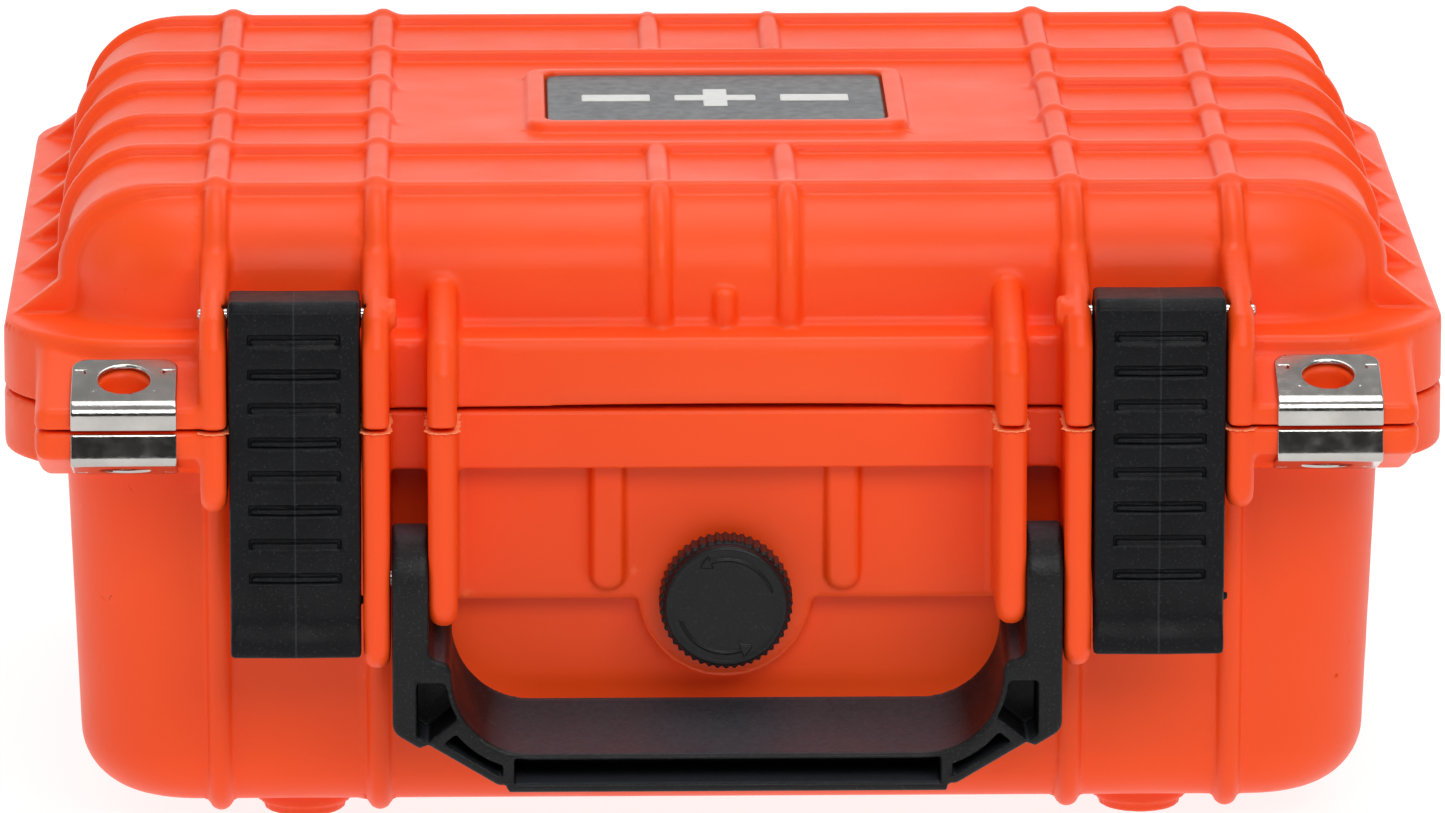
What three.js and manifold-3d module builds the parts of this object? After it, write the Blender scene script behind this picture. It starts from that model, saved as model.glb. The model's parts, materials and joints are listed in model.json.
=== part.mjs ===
// A waterproof first aid kit case: a moulded base and a ribbed lid on two rear hinges, two draw
// latches with hooked claws, a swinging carry handle, a pressure valve and steel padlock plates.
// Millimetres, +Z up, +Y to the back. The origin is the middle of the case on the surface it stands on.

import * as THREE from "three";
import { mergeVertices } from "three/addons/utils/BufferGeometryUtils.js";
import Module from "manifold-3d";

const wasm = await Module();
wasm.setup();

// Driving dimensions of the case.
const WIDTH = 270;
const DEPTH = 246;
const HEIGHT = 124;
const FRONT = -DEPTH / 2;
const BACK = DEPTH / 2;
const SEAM = 86;
const HALF_SEAM_GAP = 0.25;
const BASE_TOP = SEAM - HALF_SEAM_GAP;
const LID_BOTTOM = SEAM + HALF_SEAM_GAP;
const GAP = 0.3;
const WALL = 3;
const FAR = 400;

// The flanges where the halves meet.
const FLANGE = { halfX: WIDTH / 2, front: FRONT + 18, back: BACK - 16, corner: 24 };
const FLANGE_LOW = 74.5;
const FLANGE_HIGH = 99.5;
const FLANGE_BEVEL = 1.5;
const FLANGE_WEB = 3;

// The tub of the base and the dome of the lid. The draft is how far each wall leans in per
// millimetre of height.
const TUB = { halfX: 123.3, front: -95, back: 97, corner: 22, bottom: 4, edge: 14, draft: -0.039 };
const DOME = { halfX: 124.5, front: -96, back: 98, corner: 24, edge: 14, draft: 0.03 };
const RIB_HEIGHT = 2;
const DOME_TOP = HEIGHT - RIB_HEIGHT;
const INNER_CORNER = 16;
const INNER_EDGE = 10;

// The ribs. Places across the case are distances from its middle plane.
const RIB_WIDTH = 4.2;
const LONG_RIBS = [65, 95];
const SHORT_RIB = 12;
const CROSS_RIBS = [45, 81];
const CROSS_RIB_SIDE = 16;
const FLANGE_MIDDLE = (FLANGE.front + FLANGE.back) / 2;
const TUB_RIB_HEIGHT = 1.8;
const MIDDLE_RIB_HIGH = 109;
const BRACKETS = [
  { x: 95, width: 5, low: 70, shoulder: 103, high: 115.5 },
  { x: 65, width: 5, low: 40, shoulder: 103, high: 115.5 },
  { x: 52.7, width: 5.5, low: 48, shoulder: 98, high: 109 },
];
const BRACKET_ROUND = 5;
// The top edge of a bracket rib on the lid: how far its root lies behind the dome's wall, and its
// two corners, each as a step back from the front and a height from the top or the shoulder.
const BRACKET_TOP = { root: 8, crest: 9, crestDrop: 4.2, brow: 2.5, browRise: 4.5 };
const MIDDLE_RIB_LOW = SEAM + 8;

// The triangular webs on the side flanges.
const GUSSET = { sink: 2, inset: 1, height: 9 };

// The seal between the halves.
const SEAL_MIDDLE = 128;
const GROOVE_WIDTH = 5;
const GROOVE_DEPTH = 4.5;
const TONGUE_WIDTH = 2.4;
const TONGUE_HEIGHT = 1.9;
const GASKET_WIDTH = 4.2;
const GASKET_HEIGHT = 2.3;

// The padlock corners.
const BOSS = { x: 111.5, low: 96.5, high: 128, front: FRONT + 1.2, back: FRONT + 25, rise: 0.325 };
const LID_BOSS_FACE_TOP = LID_BOTTOM + 4;
const BASE_BOSS_FACE_LOW = BASE_TOP - 5.2;
const LOCK_HOLE_Y = FRONT + 9.4;
const LOCK_HOLE_RADIUS = 4.5;
const LOCK_PLATE = { width: 19.6, thickness: 0.8, corner: 4, reach: 16.4, holeRadius: 4.75 };
const LOCK_PLATE_LIFT = 0.85;
const LOCK_PLATE_SEAM_GAP = 0.15;

// The latches.
const LATCH_X = 80;
const LATCH_PIN = { y: FRONT + 8.5, z: 106.5, radius: 1.15, inner: 64, outer: 97.4 };
const LEVER = { width: 24.2, top: 3.7, bottom: -63.7, front: -8.5, back: 7.2, plate: 4.5, cheek: 2.3 };
const LEVER_TOP = { round: 1, shoulder: 4 };
const LEVER_CHANNEL = { top: -5.5, bottom: 6 };
// The finger end of the lever, as steps from its lower front edge.
const LEVER_LIP = { thickness: 3, tip: 4.5, neck: 6, high: 3.6, low: 1, hollow: 2 };
const LEVER_GRIP = { low: 6, middle: 9, high: 12.5, cheekEnd: 20 };
const LEVER_SLOTS = { count: 8, pitch: 6.44, top: -3.2, width: 17.1, height: 1.5, depth: 0.7 };
const CLAW_PIN = { y: 3.2, z: -15.5, radius: 1.3 };
const CLAW = { width: 18.4, barrel: 3, armFront: 2.7, armBack: 5.6, length: 20.4, nose: 9.5, lip: 3.2 };
const CLAW_BEVEL = 1;
const CLAW_REST_ANGLE = THREE.MathUtils.degToRad(-14);

// The carry handle.
const HANDLE_PIVOT = { y: FRONT + 10, z: 56, pinRadius: 1.6, pinInner: 50.2, pinOuter: 66.9 };
const HANDLE = { outer: 62.2, inner: 55.8, half: 10, gripTop: -26.5, gripLow: -39, wall: 2.6 };
// Where the arms turn in towards the grip, and half the straight lengths of its edges.
const HANDLE_TURN = { inner: -11.2, outer: -27.5 };
const GRIP = { halfTop: 36, halfLow: 43, halfPocket: 40, pocketSink: 2 };

// The pressure valve.
const VALVE_Z = 49.3;
const PLATFORM = { half: 50.4, low: 48, front: -98.5, disc: 16.4, ribX: 22, ribHalf: 3.4, ribLow: 49.5 };
const VALVE = { bore: 6, stem: 5.6, flange: 9, post: 4, nut: 9.4, seat: 8.7, seatDepth: 1.6 };
const VALVE_INSIDE = 10;
const VALVE_FLANGE_THICKNESS = 2;
const VALVE_POST_LENGTH = 6.5;
const VALVE_NUT_THICKNESS = 4;
const SEAL_RING = { lift: 0.1, thickness: 1.2 };
const KNOB = { radius: 12.5, face: 11.7, length: 8.6, front: -110, bevel: 0.8, rim: 2, socket: 0.5 };

// The hinges, each with one lid knuckle between two base knuckles.
const HINGE = { y: BACK - 7, z: SEAM, radius: 7, pin: 2, bore: 2.3, pinSink: 0.5 };
const HINGE_BASE = [[40, 48], [72, 80]];
const HINGE_LID = [48.4, 71.6];

// The label, the feet and the foam.
const LABEL = { halfX: 33, front: -22, back: 25, bar: 4.4, corner: 3, thickness: 1 };
const FEET = { x: 78, front: -68, back: 70, radius: 7.8, collar: 9.2, collarLow: 2 };
const FOAM = { halfX: 108, front: -80, back: 82, corner: 10, thickness: 14 };

const sides = [["left", -1], ["right", 1]];

// Solids from three.js geometry.

function solidFrom(geometry) {
  geometry.deleteAttribute("normal");
  geometry.deleteAttribute("uv");
  const merged = mergeVertices(geometry);
  const mesh = new wasm.Mesh({
    numProp: 3,
    vertProperties: merged.attributes.position.array,
    triVerts: Uint32Array.from(merged.index.array),
  });
  return new wasm.Manifold(mesh);
}

function geometryFrom(solid) {
  const { vertProperties, triVerts } = solid.getMesh();
  const geometry = new THREE.BufferGeometry();
  geometry.setAttribute("position", new THREE.BufferAttribute(vertProperties, 3));
  geometry.setIndex(new THREE.BufferAttribute(triVerts, 1));
  return geometry;
}

function join(...solids) {
  return solids.reduce((whole, next) => whole.add(next));
}

function block(x0, x1, y0, y1, z0, z1) {
  const geometry = new THREE.BoxGeometry(x1 - x0, y1 - y0, z1 - z0);
  return solidFrom(geometry.translate((x0 + x1) / 2, (y0 + y1) / 2, (z0 + z1) / 2));
}

function above(solid, z) {
  return solid.intersect(block(-FAR, FAR, -FAR, FAR, z, FAR));
}

function below(solid, z) {
  return solid.intersect(block(-FAR, FAR, -FAR, FAR, -FAR, z));
}

function outline(points) {
  return new THREE.Shape(points.map(([a, b]) => new THREE.Vector2(a, b)));
}

function roundedOutline(x0, x1, y0, y1, radius) {
  const shape = new THREE.Shape();
  shape.absarc(x1 - radius, y1 - radius, radius, 0, Math.PI / 2);
  shape.absarc(x0 + radius, y1 - radius, radius, Math.PI / 2, Math.PI);
  shape.absarc(x0 + radius, y0 + radius, radius, Math.PI, 1.5 * Math.PI);
  shape.absarc(x1 - radius, y0 + radius, radius, 1.5 * Math.PI, 2 * Math.PI);
  return shape;
}

function prism(shape, depth, curveSegments) {
  return new THREE.ExtrudeGeometry(shape, { depth, bevelEnabled: false, curveSegments });
}

// An outline drawn in X and Y, standing along Z.
function prismZ(shape, z0, z1, curveSegments = 4) {
  return solidFrom(prism(shape, z1 - z0, curveSegments).translate(0, 0, z0));
}

// An outline drawn in Y and Z, lying along X.
function prismX(shape, x0, x1, curveSegments = 6) {
  const turn = new THREE.Matrix4().makeBasis(
    new THREE.Vector3(0, 1, 0),
    new THREE.Vector3(0, 0, 1),
    new THREE.Vector3(1, 0, 0),
  );
  return solidFrom(prism(shape, x1 - x0, curveSegments).applyMatrix4(turn).translate(x0, 0, 0));
}

// An outline drawn in X and Z, lying along Y.
function prismY(shape, y0, y1, curveSegments = 6) {
  return solidFrom(prism(shape, y1 - y0, curveSegments).rotateX(Math.PI / 2).translate(0, y1, 0));
}

function rodX(radius, x0, x1, y, z, segments = 12) {
  const geometry = new THREE.CylinderGeometry(radius, radius, x1 - x0, segments);
  return solidFrom(geometry.rotateZ(Math.PI / 2).translate((x0 + x1) / 2, y, z));
}

function rodY(radius, y0, y1, x, z, segments = 20) {
  const geometry = new THREE.CylinderGeometry(radius, radius, y1 - y0, segments);
  return solidFrom(geometry.translate(x, (y0 + y1) / 2, z));
}

function rodZ(radius, z0, z1, x, y, segments = 16) {
  const geometry = new THREE.CylinderGeometry(radius, radius, z1 - z0, segments);
  return solidFrom(geometry.rotateX(Math.PI / 2).translate(x, y, (z0 + z1) / 2));
}

// A block with rounded corners and rounded long edges. Its walls have their full size at one
// level and lean in by the draft from there upwards.
function roundedBlock(size, z0, z1, fullAt, curveSegments = 4) {
  const { halfX, front, back, corner, edge, draft } = size;
  const shape = roundedOutline(-halfX, halfX, front, back, corner);
  const geometry = new THREE.ExtrudeGeometry(shape, {
    depth: z1 - z0 - 2 * edge,
    bevelThickness: edge,
    bevelSize: edge,
    bevelOffset: -edge,
    bevelSegments: 3,
    curveSegments,
  });
  geometry.translate(0, 0, z0 + edge);
  const middle = (front + back) / 2;
  const place = geometry.attributes.position;
  for (let i = 0; i < place.count; i += 1) {
    const lean = draft * (place.getZ(i) - fullAt);
    place.setX(i, place.getX(i) - lean * Math.sign(place.getX(i)));
    place.setY(i, place.getY(i) - lean * Math.sign(place.getY(i) - middle));
  }
  return solidFrom(geometry);
}

function grown(size, by) {
  return {
    ...size,
    halfX: size.halfX + by,
    front: size.front - by,
    back: size.back + by,
    corner: size.corner + by,
    edge: size.edge + by,
  };
}

function hollow(size) {
  return { ...grown(size, -WALL), corner: INNER_CORNER, edge: INNER_EDGE };
}

// Slabs of rib width across the case at distances from its middle plane.
function slabsAcross(distances, width) {
  const slabs = [];
  for (const distance of distances) {
    for (const [, side] of sides) {
      const x = side * distance;
      slabs.push(block(x - width / 2, x + width / 2, -FAR, FAR, -FAR, FAR));
    }
  }
  return join(...slabs);
}

// The outer block of the tub or the dome, grown outwards by the height of its ribs.
function tubBlock(by = 0) {
  return below(roundedBlock(grown(TUB, by), TUB.bottom - by, SEAM + 2 * TUB.edge + by, SEAM), BASE_TOP);
}

function domeBlock(by = 0) {
  return above(roundedBlock(grown(DOME, by), SEAM - 2 * DOME.edge - by, DOME_TOP + by, SEAM), LID_BOTTOM);
}

function flangeOutline(inset = 0) {
  const { halfX, front, back, corner } = FLANGE;
  return roundedOutline(-halfX + inset, halfX - inset, front + inset, back - inset, corner - inset);
}

// A ring that follows the flange, centred on the line of the seal.
function sealRing(width, z0, z1) {
  const inset = FLANGE.halfX - SEAL_MIDDLE;
  const ring = flangeOutline(inset - width / 2);
  ring.holes.push(flangeOutline(inset + width / 2));
  return prismZ(ring, z0, z1);
}

// A side outline with a round lower front corner, for the part of a bracket rib on the base.
function baseBracket({ x, width, low }, side) {
  const shape = new THREE.Shape();
  shape.moveTo(TUB.front + WALL, BASE_TOP);
  shape.lineTo(FRONT, BASE_TOP);
  shape.lineTo(FRONT, low + BRACKET_ROUND);
  shape.absarc(FRONT + BRACKET_ROUND, low + BRACKET_ROUND, BRACKET_ROUND, Math.PI, 1.5 * Math.PI);
  shape.lineTo(TUB.front + WALL, low);
  return prismX(shape, side * x - width / 2, side * x + width / 2, 3);
}

function lidBracket({ x, width, shoulder, high }, side) {
  const { root, crest, crestDrop, brow, browRise } = BRACKET_TOP;
  const shape = outline([
    [DOME.front + root, LID_BOTTOM],
    [DOME.front + root, high],
    [DOME.front, high],
    [FRONT + crest, high - crestDrop],
    [FRONT + brow, shoulder + browRise],
    [FRONT, shoulder],
    [FRONT, LID_BOTTOM],
  ]);
  return prismX(shape, side * x - width / 2, side * x + width / 2);
}

function bossOutline(z0, z1, slopeFrom, direction) {
  const run = BOSS.back - BOSS.front;
  return outline([
    [BOSS.front, z0],
    [BOSS.back, z0],
    [BOSS.back, slopeFrom + direction * BOSS.rise * run],
    [BOSS.front, z1],
  ]);
}

function lockBoss(shape, side) {
  const x0 = Math.min(side * BOSS.low, side * BOSS.high);
  return prismX(shape, x0, x0 + BOSS.high - BOSS.low);
}

function lockHole(side, radius = LOCK_HOLE_RADIUS) {
  return rodZ(radius, FLANGE_LOW - 10, FLANGE_HIGH + 10, side * BOSS.x, LOCK_HOLE_Y);
}

function knuckle(side, [low, high], z0, z1) {
  const x0 = Math.min(side * low, side * high);
  const x1 = x0 + high - low;
  const arm = block(x0, x1, FLANGE.back - WALL, HINGE.y, z0, z1);
  return arm.add(rodX(HINGE.radius, x0, x1, HINGE.y, HINGE.z, 24));
}

function hingeBore(side) {
  const [inner, outer] = [HINGE_BASE[0][0] - 1, HINGE_BASE[1][1] + 1];
  return sideRod(inner, outer, HINGE.bore, HINGE.y, HINGE.z, side);
}

// A round rod on one side of the case, between two distances from its middle plane.
function sideRod(inner, outer, radius, y, z, side) {
  const x0 = Math.min(side * inner, side * outer);
  return rodX(radius, x0, x0 + outer - inner, y, z);
}

// The base.

function valvePlatform() {
  const back = TUB.front + WALL;
  const plate = block(-PLATFORM.half, PLATFORM.half, PLATFORM.front, back, PLATFORM.low, FLANGE_LOW + 2);
  const disc = rodY(PLATFORM.disc, PLATFORM.front, back, 0, VALVE_Z, 28);
  const { ribX, ribHalf, ribLow } = PLATFORM;
  const ribs = sides.map(([, side]) => {
    const shape = new THREE.Shape();
    shape.absarc(side * ribX, ribLow + ribHalf, ribHalf, Math.PI, 2 * Math.PI);
    shape.lineTo(side * ribX + ribHalf, FLANGE_LOW + 2);
    shape.lineTo(side * ribX - ribHalf, FLANGE_LOW + 2);
    return prismY(shape, PLATFORM.front - RIB_HEIGHT, back);
  });
  return join(plate, disc, ...ribs);
}

function foot(x, y) {
  const collar = rodZ(FEET.collar, FEET.collarLow, TUB.bottom + WALL / 2, x, y, 24);
  return collar.add(rodZ(FEET.radius, 0, TUB.bottom + WALL / 2, x, y, 24));
}

function baseShell() {
  const web = prismZ(flangeOutline(WALL), FLANGE_LOW - 1, BASE_TOP - FLANGE_WEB);
  let shell = prismZ(flangeOutline(), FLANGE_LOW, BASE_TOP).subtract(web);
  shell = join(shell, tubBlock(), valvePlatform());
  const ribbed = below(tubBlock(TUB_RIB_HEIGHT), FLANGE_LOW + 1);
  shell = shell.add(ribbed.intersect(slabsAcross(LONG_RIBS, RIB_WIDTH)));
  const bossShape = bossOutline(BASE_TOP, BASE_BOSS_FACE_LOW, BASE_BOSS_FACE_LOW, -1);
  for (const [, side] of sides) {
    shell = join(shell, ...BRACKETS.map((bracket) => baseBracket(bracket, side)));
    shell = shell.add(lockBoss(bossShape, side));
    shell = join(shell, ...HINGE_BASE.map((span) => knuckle(side, span, HINGE.z - HINGE.radius, BASE_TOP)));
    shell = join(shell, foot(side * FEET.x, FEET.front), foot(side * FEET.x, FEET.back));
  }
  const cavity = roundedBlock(hollow(TUB), TUB.bottom + WALL, SEAM + FAR / 8, SEAM);
  shell = shell.subtract(cavity).add(sealRing(TONGUE_WIDTH, BASE_TOP - 1, BASE_TOP + TONGUE_HEIGHT));
  for (const [, side] of sides) {
    shell = shell.subtract(lockHole(side)).subtract(hingeBore(side));
    const { pinInner, pinOuter, pinRadius, y, z } = HANDLE_PIVOT;
    shell = shell.subtract(sideRod(pinInner - 1, pinOuter + GAP, pinRadius + GAP, y, z, side));
  }
  shell = shell.subtract(rodY(VALVE.bore, FRONT, TUB.front + 2 * WALL, 0, VALVE_Z));
  return shell.subtract(rodY(VALVE.seat, FRONT, PLATFORM.front + VALVE.seatDepth, 0, VALVE_Z));
}

// The lid.

function lidRibs() {
  const outer = domeBlock(RIB_HEIGHT);
  const full = outer.intersect(slabsAcross(LONG_RIBS, RIB_WIDTH));
  const half = RIB_WIDTH / 2;
  const bands = [];
  for (const [, side] of sides) {
    for (const distance of CROSS_RIBS) {
      const y = FLANGE_MIDDLE + side * distance;
      bands.push(block(-FAR, FAR, y - half, y + half, 0, FAR));
    }
    const y = FLANGE_MIDDLE + side * CROSS_RIB_SIDE;
    bands.push(block(-FAR, -LONG_RIBS[0], y - half, y + half, 0, FAR));
    bands.push(block(LONG_RIBS[0], FAR, y - half, y + half, 0, FAR));
  }
  const cross = outer.intersect(join(...bands));
  const ends = join(
    block(-FAR, FAR, -FAR, FLANGE_MIDDLE - CROSS_RIBS[0], 0, FAR),
    block(-FAR, FAR, FLANGE_MIDDLE + CROSS_RIBS[0], FAR, 0, FAR),
  );
  const short = outer.intersect(slabsAcross([SHORT_RIB], RIB_WIDTH)).intersect(ends);
  return join(full, cross, short);
}

// Triangular webs from the side flange up the dome, below each cross rib.
function sideGussets() {
  const gussets = [];
  const { sink, inset, height } = GUSSET;
  for (const [, side] of sides) {
    const shape = outline([
      [side * (DOME.halfX - sink), FLANGE_HIGH - 1],
      [side * (FLANGE.halfX - inset), FLANGE_HIGH - 1],
      [side * (DOME.halfX - sink), FLANGE_HIGH + height],
    ]);
    for (const distance of [...CROSS_RIBS, CROSS_RIB_SIDE]) {
      for (const y of [FLANGE_MIDDLE - distance, FLANGE_MIDDLE + distance]) {
        gussets.push(prismY(shape, y - RIB_WIDTH / 2, y + RIB_WIDTH / 2));
      }
    }
  }
  return join(...gussets);
}

function labelFrame() {
  const { halfX, front, back, bar, corner } = LABEL;
  const ring = roundedOutline(-halfX - bar, halfX + bar, front - bar, back + bar, corner + bar / 2);
  ring.holes.push(roundedOutline(-halfX, halfX, front, back, corner));
  return prismZ(ring, DOME_TOP - 1, HEIGHT, 4);
}

// The short rib on the middle of the lid's front wall.
function middleRib() {
  const half = RIB_WIDTH / 2;
  return block(-half, half, DOME.front - RIB_HEIGHT, DOME.front + WALL, MIDDLE_RIB_LOW, MIDDLE_RIB_HIGH);
}

function lidShell() {
  const flange = { ...FLANGE, edge: FLANGE_BEVEL, draft: 0 };
  const rim = above(roundedBlock(flange, LID_BOTTOM - 4, FLANGE_HIGH, SEAM), LID_BOTTOM);
  let shell = join(rim, domeBlock(), lidRibs(), sideGussets(), labelFrame(), middleRib());
  const bossShape = bossOutline(LID_BOTTOM, LID_BOSS_FACE_TOP, LID_BOSS_FACE_TOP, 1);
  for (const [, side] of sides) {
    shell = join(shell, ...BRACKETS.map((bracket) => lidBracket(bracket, side)));
    shell = shell.add(lockBoss(bossShape, side));
    shell = shell.add(knuckle(side, HINGE_LID, LID_BOTTOM, HINGE.z + HINGE.radius));
  }
  const cavity = roundedBlock(hollow(DOME), SEAM - FAR / 8, DOME_TOP - WALL, SEAM);
  shell = shell.subtract(cavity);
  shell = shell.subtract(sealRing(GROOVE_WIDTH, SEAM - 5, LID_BOTTOM + GROOVE_DEPTH));
  for (const [, side] of sides) {
    shell = shell.subtract(lockHole(side)).subtract(hingeBore(side));
    const { inner, outer, radius, y, z } = LATCH_PIN;
    shell = shell.subtract(sideRod(inner - GAP, outer + 1, radius + GAP, y, z, side));
  }
  return shell;
}

function lidGasket() {
  const top = LID_BOTTOM + GROOVE_DEPTH - GAP;
  return sealRing(GASKET_WIDTH, top - GASKET_HEIGHT, top);
}

function lidLabel() {
  const { halfX, front, back, corner, thickness } = LABEL;
  const shape = roundedOutline(-halfX + GAP, halfX - GAP, front + GAP, back - GAP, corner - GAP);
  return prismZ(shape, DOME_TOP + GAP, DOME_TOP + GAP + thickness, 4);
}

function lidFoam() {
  const { halfX, front, back, corner, thickness } = FOAM;
  const top = DOME_TOP - WALL - GAP;
  return prismZ(roundedOutline(-halfX, halfX, front, back, corner), top - thickness, top);
}

// The padlock plates, each a strip bent once.

function bentStrip(end, bend, tip, thickness) {
  const points = [end, bend, tip].map(([y, z]) => new THREE.Vector2(y, z));
  const first = points[1].clone().sub(points[0]).normalize();
  const second = points[2].clone().sub(points[1]).normalize();
  const turn = Math.sign(first.x * second.y - first.y * second.x);
  const inward = (d) => new THREE.Vector2(-d.y, d.x).multiplyScalar(turn * thickness);
  const bisector = inward(first).add(inward(second)).normalize();
  const reach = thickness / bisector.dot(inward(first).normalize());
  const inner = [
    points[2].clone().add(inward(second)),
    points[1].clone().add(bisector.multiplyScalar(reach)),
    points[0].clone().add(inward(first)),
  ];
  return new THREE.Shape([...points, ...inner]);
}

function lockPlate(side, end, bend, tip) {
  const { width, thickness, corner, reach, holeRadius } = LOCK_PLATE;
  const x = side * BOSS.x;
  const strip = prismX(bentStrip(end, bend, tip, thickness), x - width / 2, x + width / 2);
  const plan = roundedOutline(x - width / 2, x + width / 2, FRONT - 2 * corner, FRONT + reach, corner);
  return strip.intersect(prismZ(plan, 0, HEIGHT, 5)).subtract(lockHole(side, holeRadius));
}

// Where the sloped part of a plate would end, past the cut that rounds it off.
function plateTip(bendZ, direction) {
  const run = LOCK_PLATE.reach + LOCK_PLATE.corner;
  return [FRONT + run, bendZ + direction * run * BOSS.rise];
}

function lidLockPlate(side) {
  const bendZ = LID_BOSS_FACE_TOP + LOCK_PLATE_LIFT;
  const end = [FRONT, LID_BOTTOM + LOCK_PLATE_SEAM_GAP];
  return lockPlate(side, end, [FRONT, bendZ], plateTip(bendZ, 1));
}

function baseLockPlate(side) {
  const bendZ = BASE_BOSS_FACE_LOW - LOCK_PLATE_LIFT;
  const end = [FRONT, BASE_TOP - LOCK_PLATE_SEAM_GAP];
  return lockPlate(side, end, [FRONT, bendZ], plateTip(bendZ, -1));
}

// The latches, drawn about the lid pin that each lever turns on.

function leverOutline() {
  const { top, bottom, front, back } = LEVER;
  const { round, shoulder } = LEVER_TOP;
  const { thickness, tip, neck, hollow } = LEVER_LIP;
  const { low, middle, high, cheekEnd } = LEVER_GRIP;
  return outline([
    [front, top - round],
    [front + round, top],
    [back - shoulder, top],
    [back, top - shoulder],
    [back, bottom + cheekEnd],
    [front + neck, bottom + middle],
    [front + tip, bottom + LEVER_LIP.low],
    [front + thickness, bottom],
    [front, bottom],
    [front, bottom + LEVER_LIP.high],
    [front + hollow, bottom + low],
    [front + hollow, bottom + middle],
    [front, bottom + high],
  ]);
}

function latchLever() {
  const half = LEVER.width / 2;
  let lever = prismX(leverOutline(), -half, half);
  const inside = half - LEVER.cheek;
  const channelFront = LEVER.front + LEVER.plate;
  const channelLow = LEVER.bottom + LEVER_CHANNEL.bottom;
  lever = lever.subtract(block(-inside, inside, channelFront, LEVER.back + 1, channelLow, LEVER_CHANNEL.top));
  for (let i = 0; i < LEVER_SLOTS.count; i += 1) {
    const { width, height, depth, top, pitch } = LEVER_SLOTS;
    const low = top - i * pitch - height / 2;
    const floor = LEVER.front + depth;
    lever = lever.subtract(block(-width / 2, width / 2, LEVER.front - 1, floor, low, low + height));
  }
  lever = lever.subtract(rodX(LATCH_PIN.radius + GAP, -half - 1, half + 1, 0, 0));
  return lever.subtract(rodX(CLAW_PIN.radius + GAP, -half - 1, half + 1, CLAW_PIN.y, CLAW_PIN.z));
}

// The claw, drawn about its own pin with its nose pointing back, as it hooks under the flange.
function latchClaw() {
  const { width, barrel, armFront, armBack, length, nose, lip } = CLAW;
  const half = width / 2;
  const arm = outline([
    [-barrel / 2, -barrel + CLAW_BEVEL / 2],
    [armFront, -2 * barrel],
    [armFront, -length],
    [nose - CLAW_BEVEL, -length],
    [nose, -length + CLAW_BEVEL],
    [nose, -length + lip],
    [armBack, -length + lip],
    [armBack, -barrel],
    [barrel / 2, barrel - CLAW_BEVEL / 2],
  ]);
  const claw = prismX(arm, -half, half).add(rodX(barrel, -half, half, 0, 0, 16));
  return claw.subtract(rodX(CLAW_PIN.radius + GAP, -half - 1, half + 1, 0, 0));
}

function clawPin() {
  return rodX(CLAW_PIN.radius, -LEVER.width / 2 + GAP, LEVER.width / 2 - GAP, 0, 0);
}

function latchPin(side) {
  const { inner, outer, radius } = LATCH_PIN;
  return sideRod(inner, outer, radius, 0, 0, side);
}

// The handle, drawn about the axis of its pins.

function handleOutline(inset = 0) {
  const { outer, gripLow } = HANDLE;
  const halfFlat = GRIP.halfLow - inset / 2;
  const slantTop = HANDLE_TURN.outer + inset;
  return [
    [outer - inset, slantTop],
    [halfFlat, gripLow + inset],
    [-halfFlat, gripLow + inset],
    [-outer + inset, slantTop],
  ];
}

function handle() {
  const { outer, inner, half, gripTop, wall } = HANDLE;
  const bow = outline([
    [outer, half],
    [inner, half],
    [inner, HANDLE_TURN.inner],
    [GRIP.halfTop, gripTop],
    [-GRIP.halfTop, gripTop],
    [-inner, HANDLE_TURN.inner],
    [-inner, half],
    [-outer, half],
    ...handleOutline().reverse(),
  ]);
  const side = new THREE.Shape();
  side.absarc(0, 0, half, 0, Math.PI);
  side.lineTo(-half, HANDLE.gripLow - 1);
  side.lineTo(half, HANDLE.gripLow - 1);
  let solid = prismY(bow, -half, half).intersect(prismX(side, -outer - 1, outer + 1, 12));
  const pocketTop = gripTop - wall - GRIP.pocketSink;
  const pocket = outline([
    [GRIP.halfPocket, pocketTop],
    [-GRIP.halfPocket, pocketTop],
    ...handleOutline(wall).slice(1, 3).reverse(),
  ]);
  solid = solid.subtract(prismY(pocket, -half - 1, half - 2 * wall));
  return solid.subtract(rodX(HANDLE_PIVOT.pinRadius + GAP, -outer - 1, outer + 1, 0, 0));
}

function handlePin(side) {
  const { pinInner, pinOuter, pinRadius } = HANDLE_PIVOT;
  return sideRod(pinInner, pinOuter, pinRadius, 0, 0, side);
}

// The valve, drawn about its own axis, which runs along Y.

function turned(profile, segments) {
  const points = profile.map(([radius, y]) => new THREE.Vector2(radius, y));
  return solidFrom(new THREE.LatheGeometry(points, segments));
}

function valveBody() {
  const face = PLATFORM.front - GAP;
  const inside = TUB.front + VALVE_INSIDE;
  const flangeFront = face - VALVE_FLANGE_THICKNESS;
  const postFront = face - VALVE_POST_LENGTH;
  return turned([
    [0, inside],
    [VALVE.stem, inside],
    [VALVE.stem, face],
    [VALVE.flange, face],
    [VALVE.flange, flangeFront],
    [VALVE.post, flangeFront],
    [VALVE.post, postFront],
    [0, postFront],
  ].reverse(), 24);
}

function valveNut() {
  const back = TUB.front + VALVE_INSIDE - 1;
  const front = back - VALVE_NUT_THICKNESS;
  const hexagon = rodY(VALVE.nut, front, back, 0, 0, 6);
  return hexagon.subtract(rodY(VALVE.stem + GAP, front - 1, back + 1, 0, 0));
}

function valveSealRing() {
  const front = PLATFORM.front + SEAL_RING.lift;
  const back = front + SEAL_RING.thickness;
  const ring = rodY(VALVE.seat - GAP, front, back, 0, 0);
  return ring.subtract(rodY(VALVE.stem + GAP, front - 1, back + 1, 0, 0));
}

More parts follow.
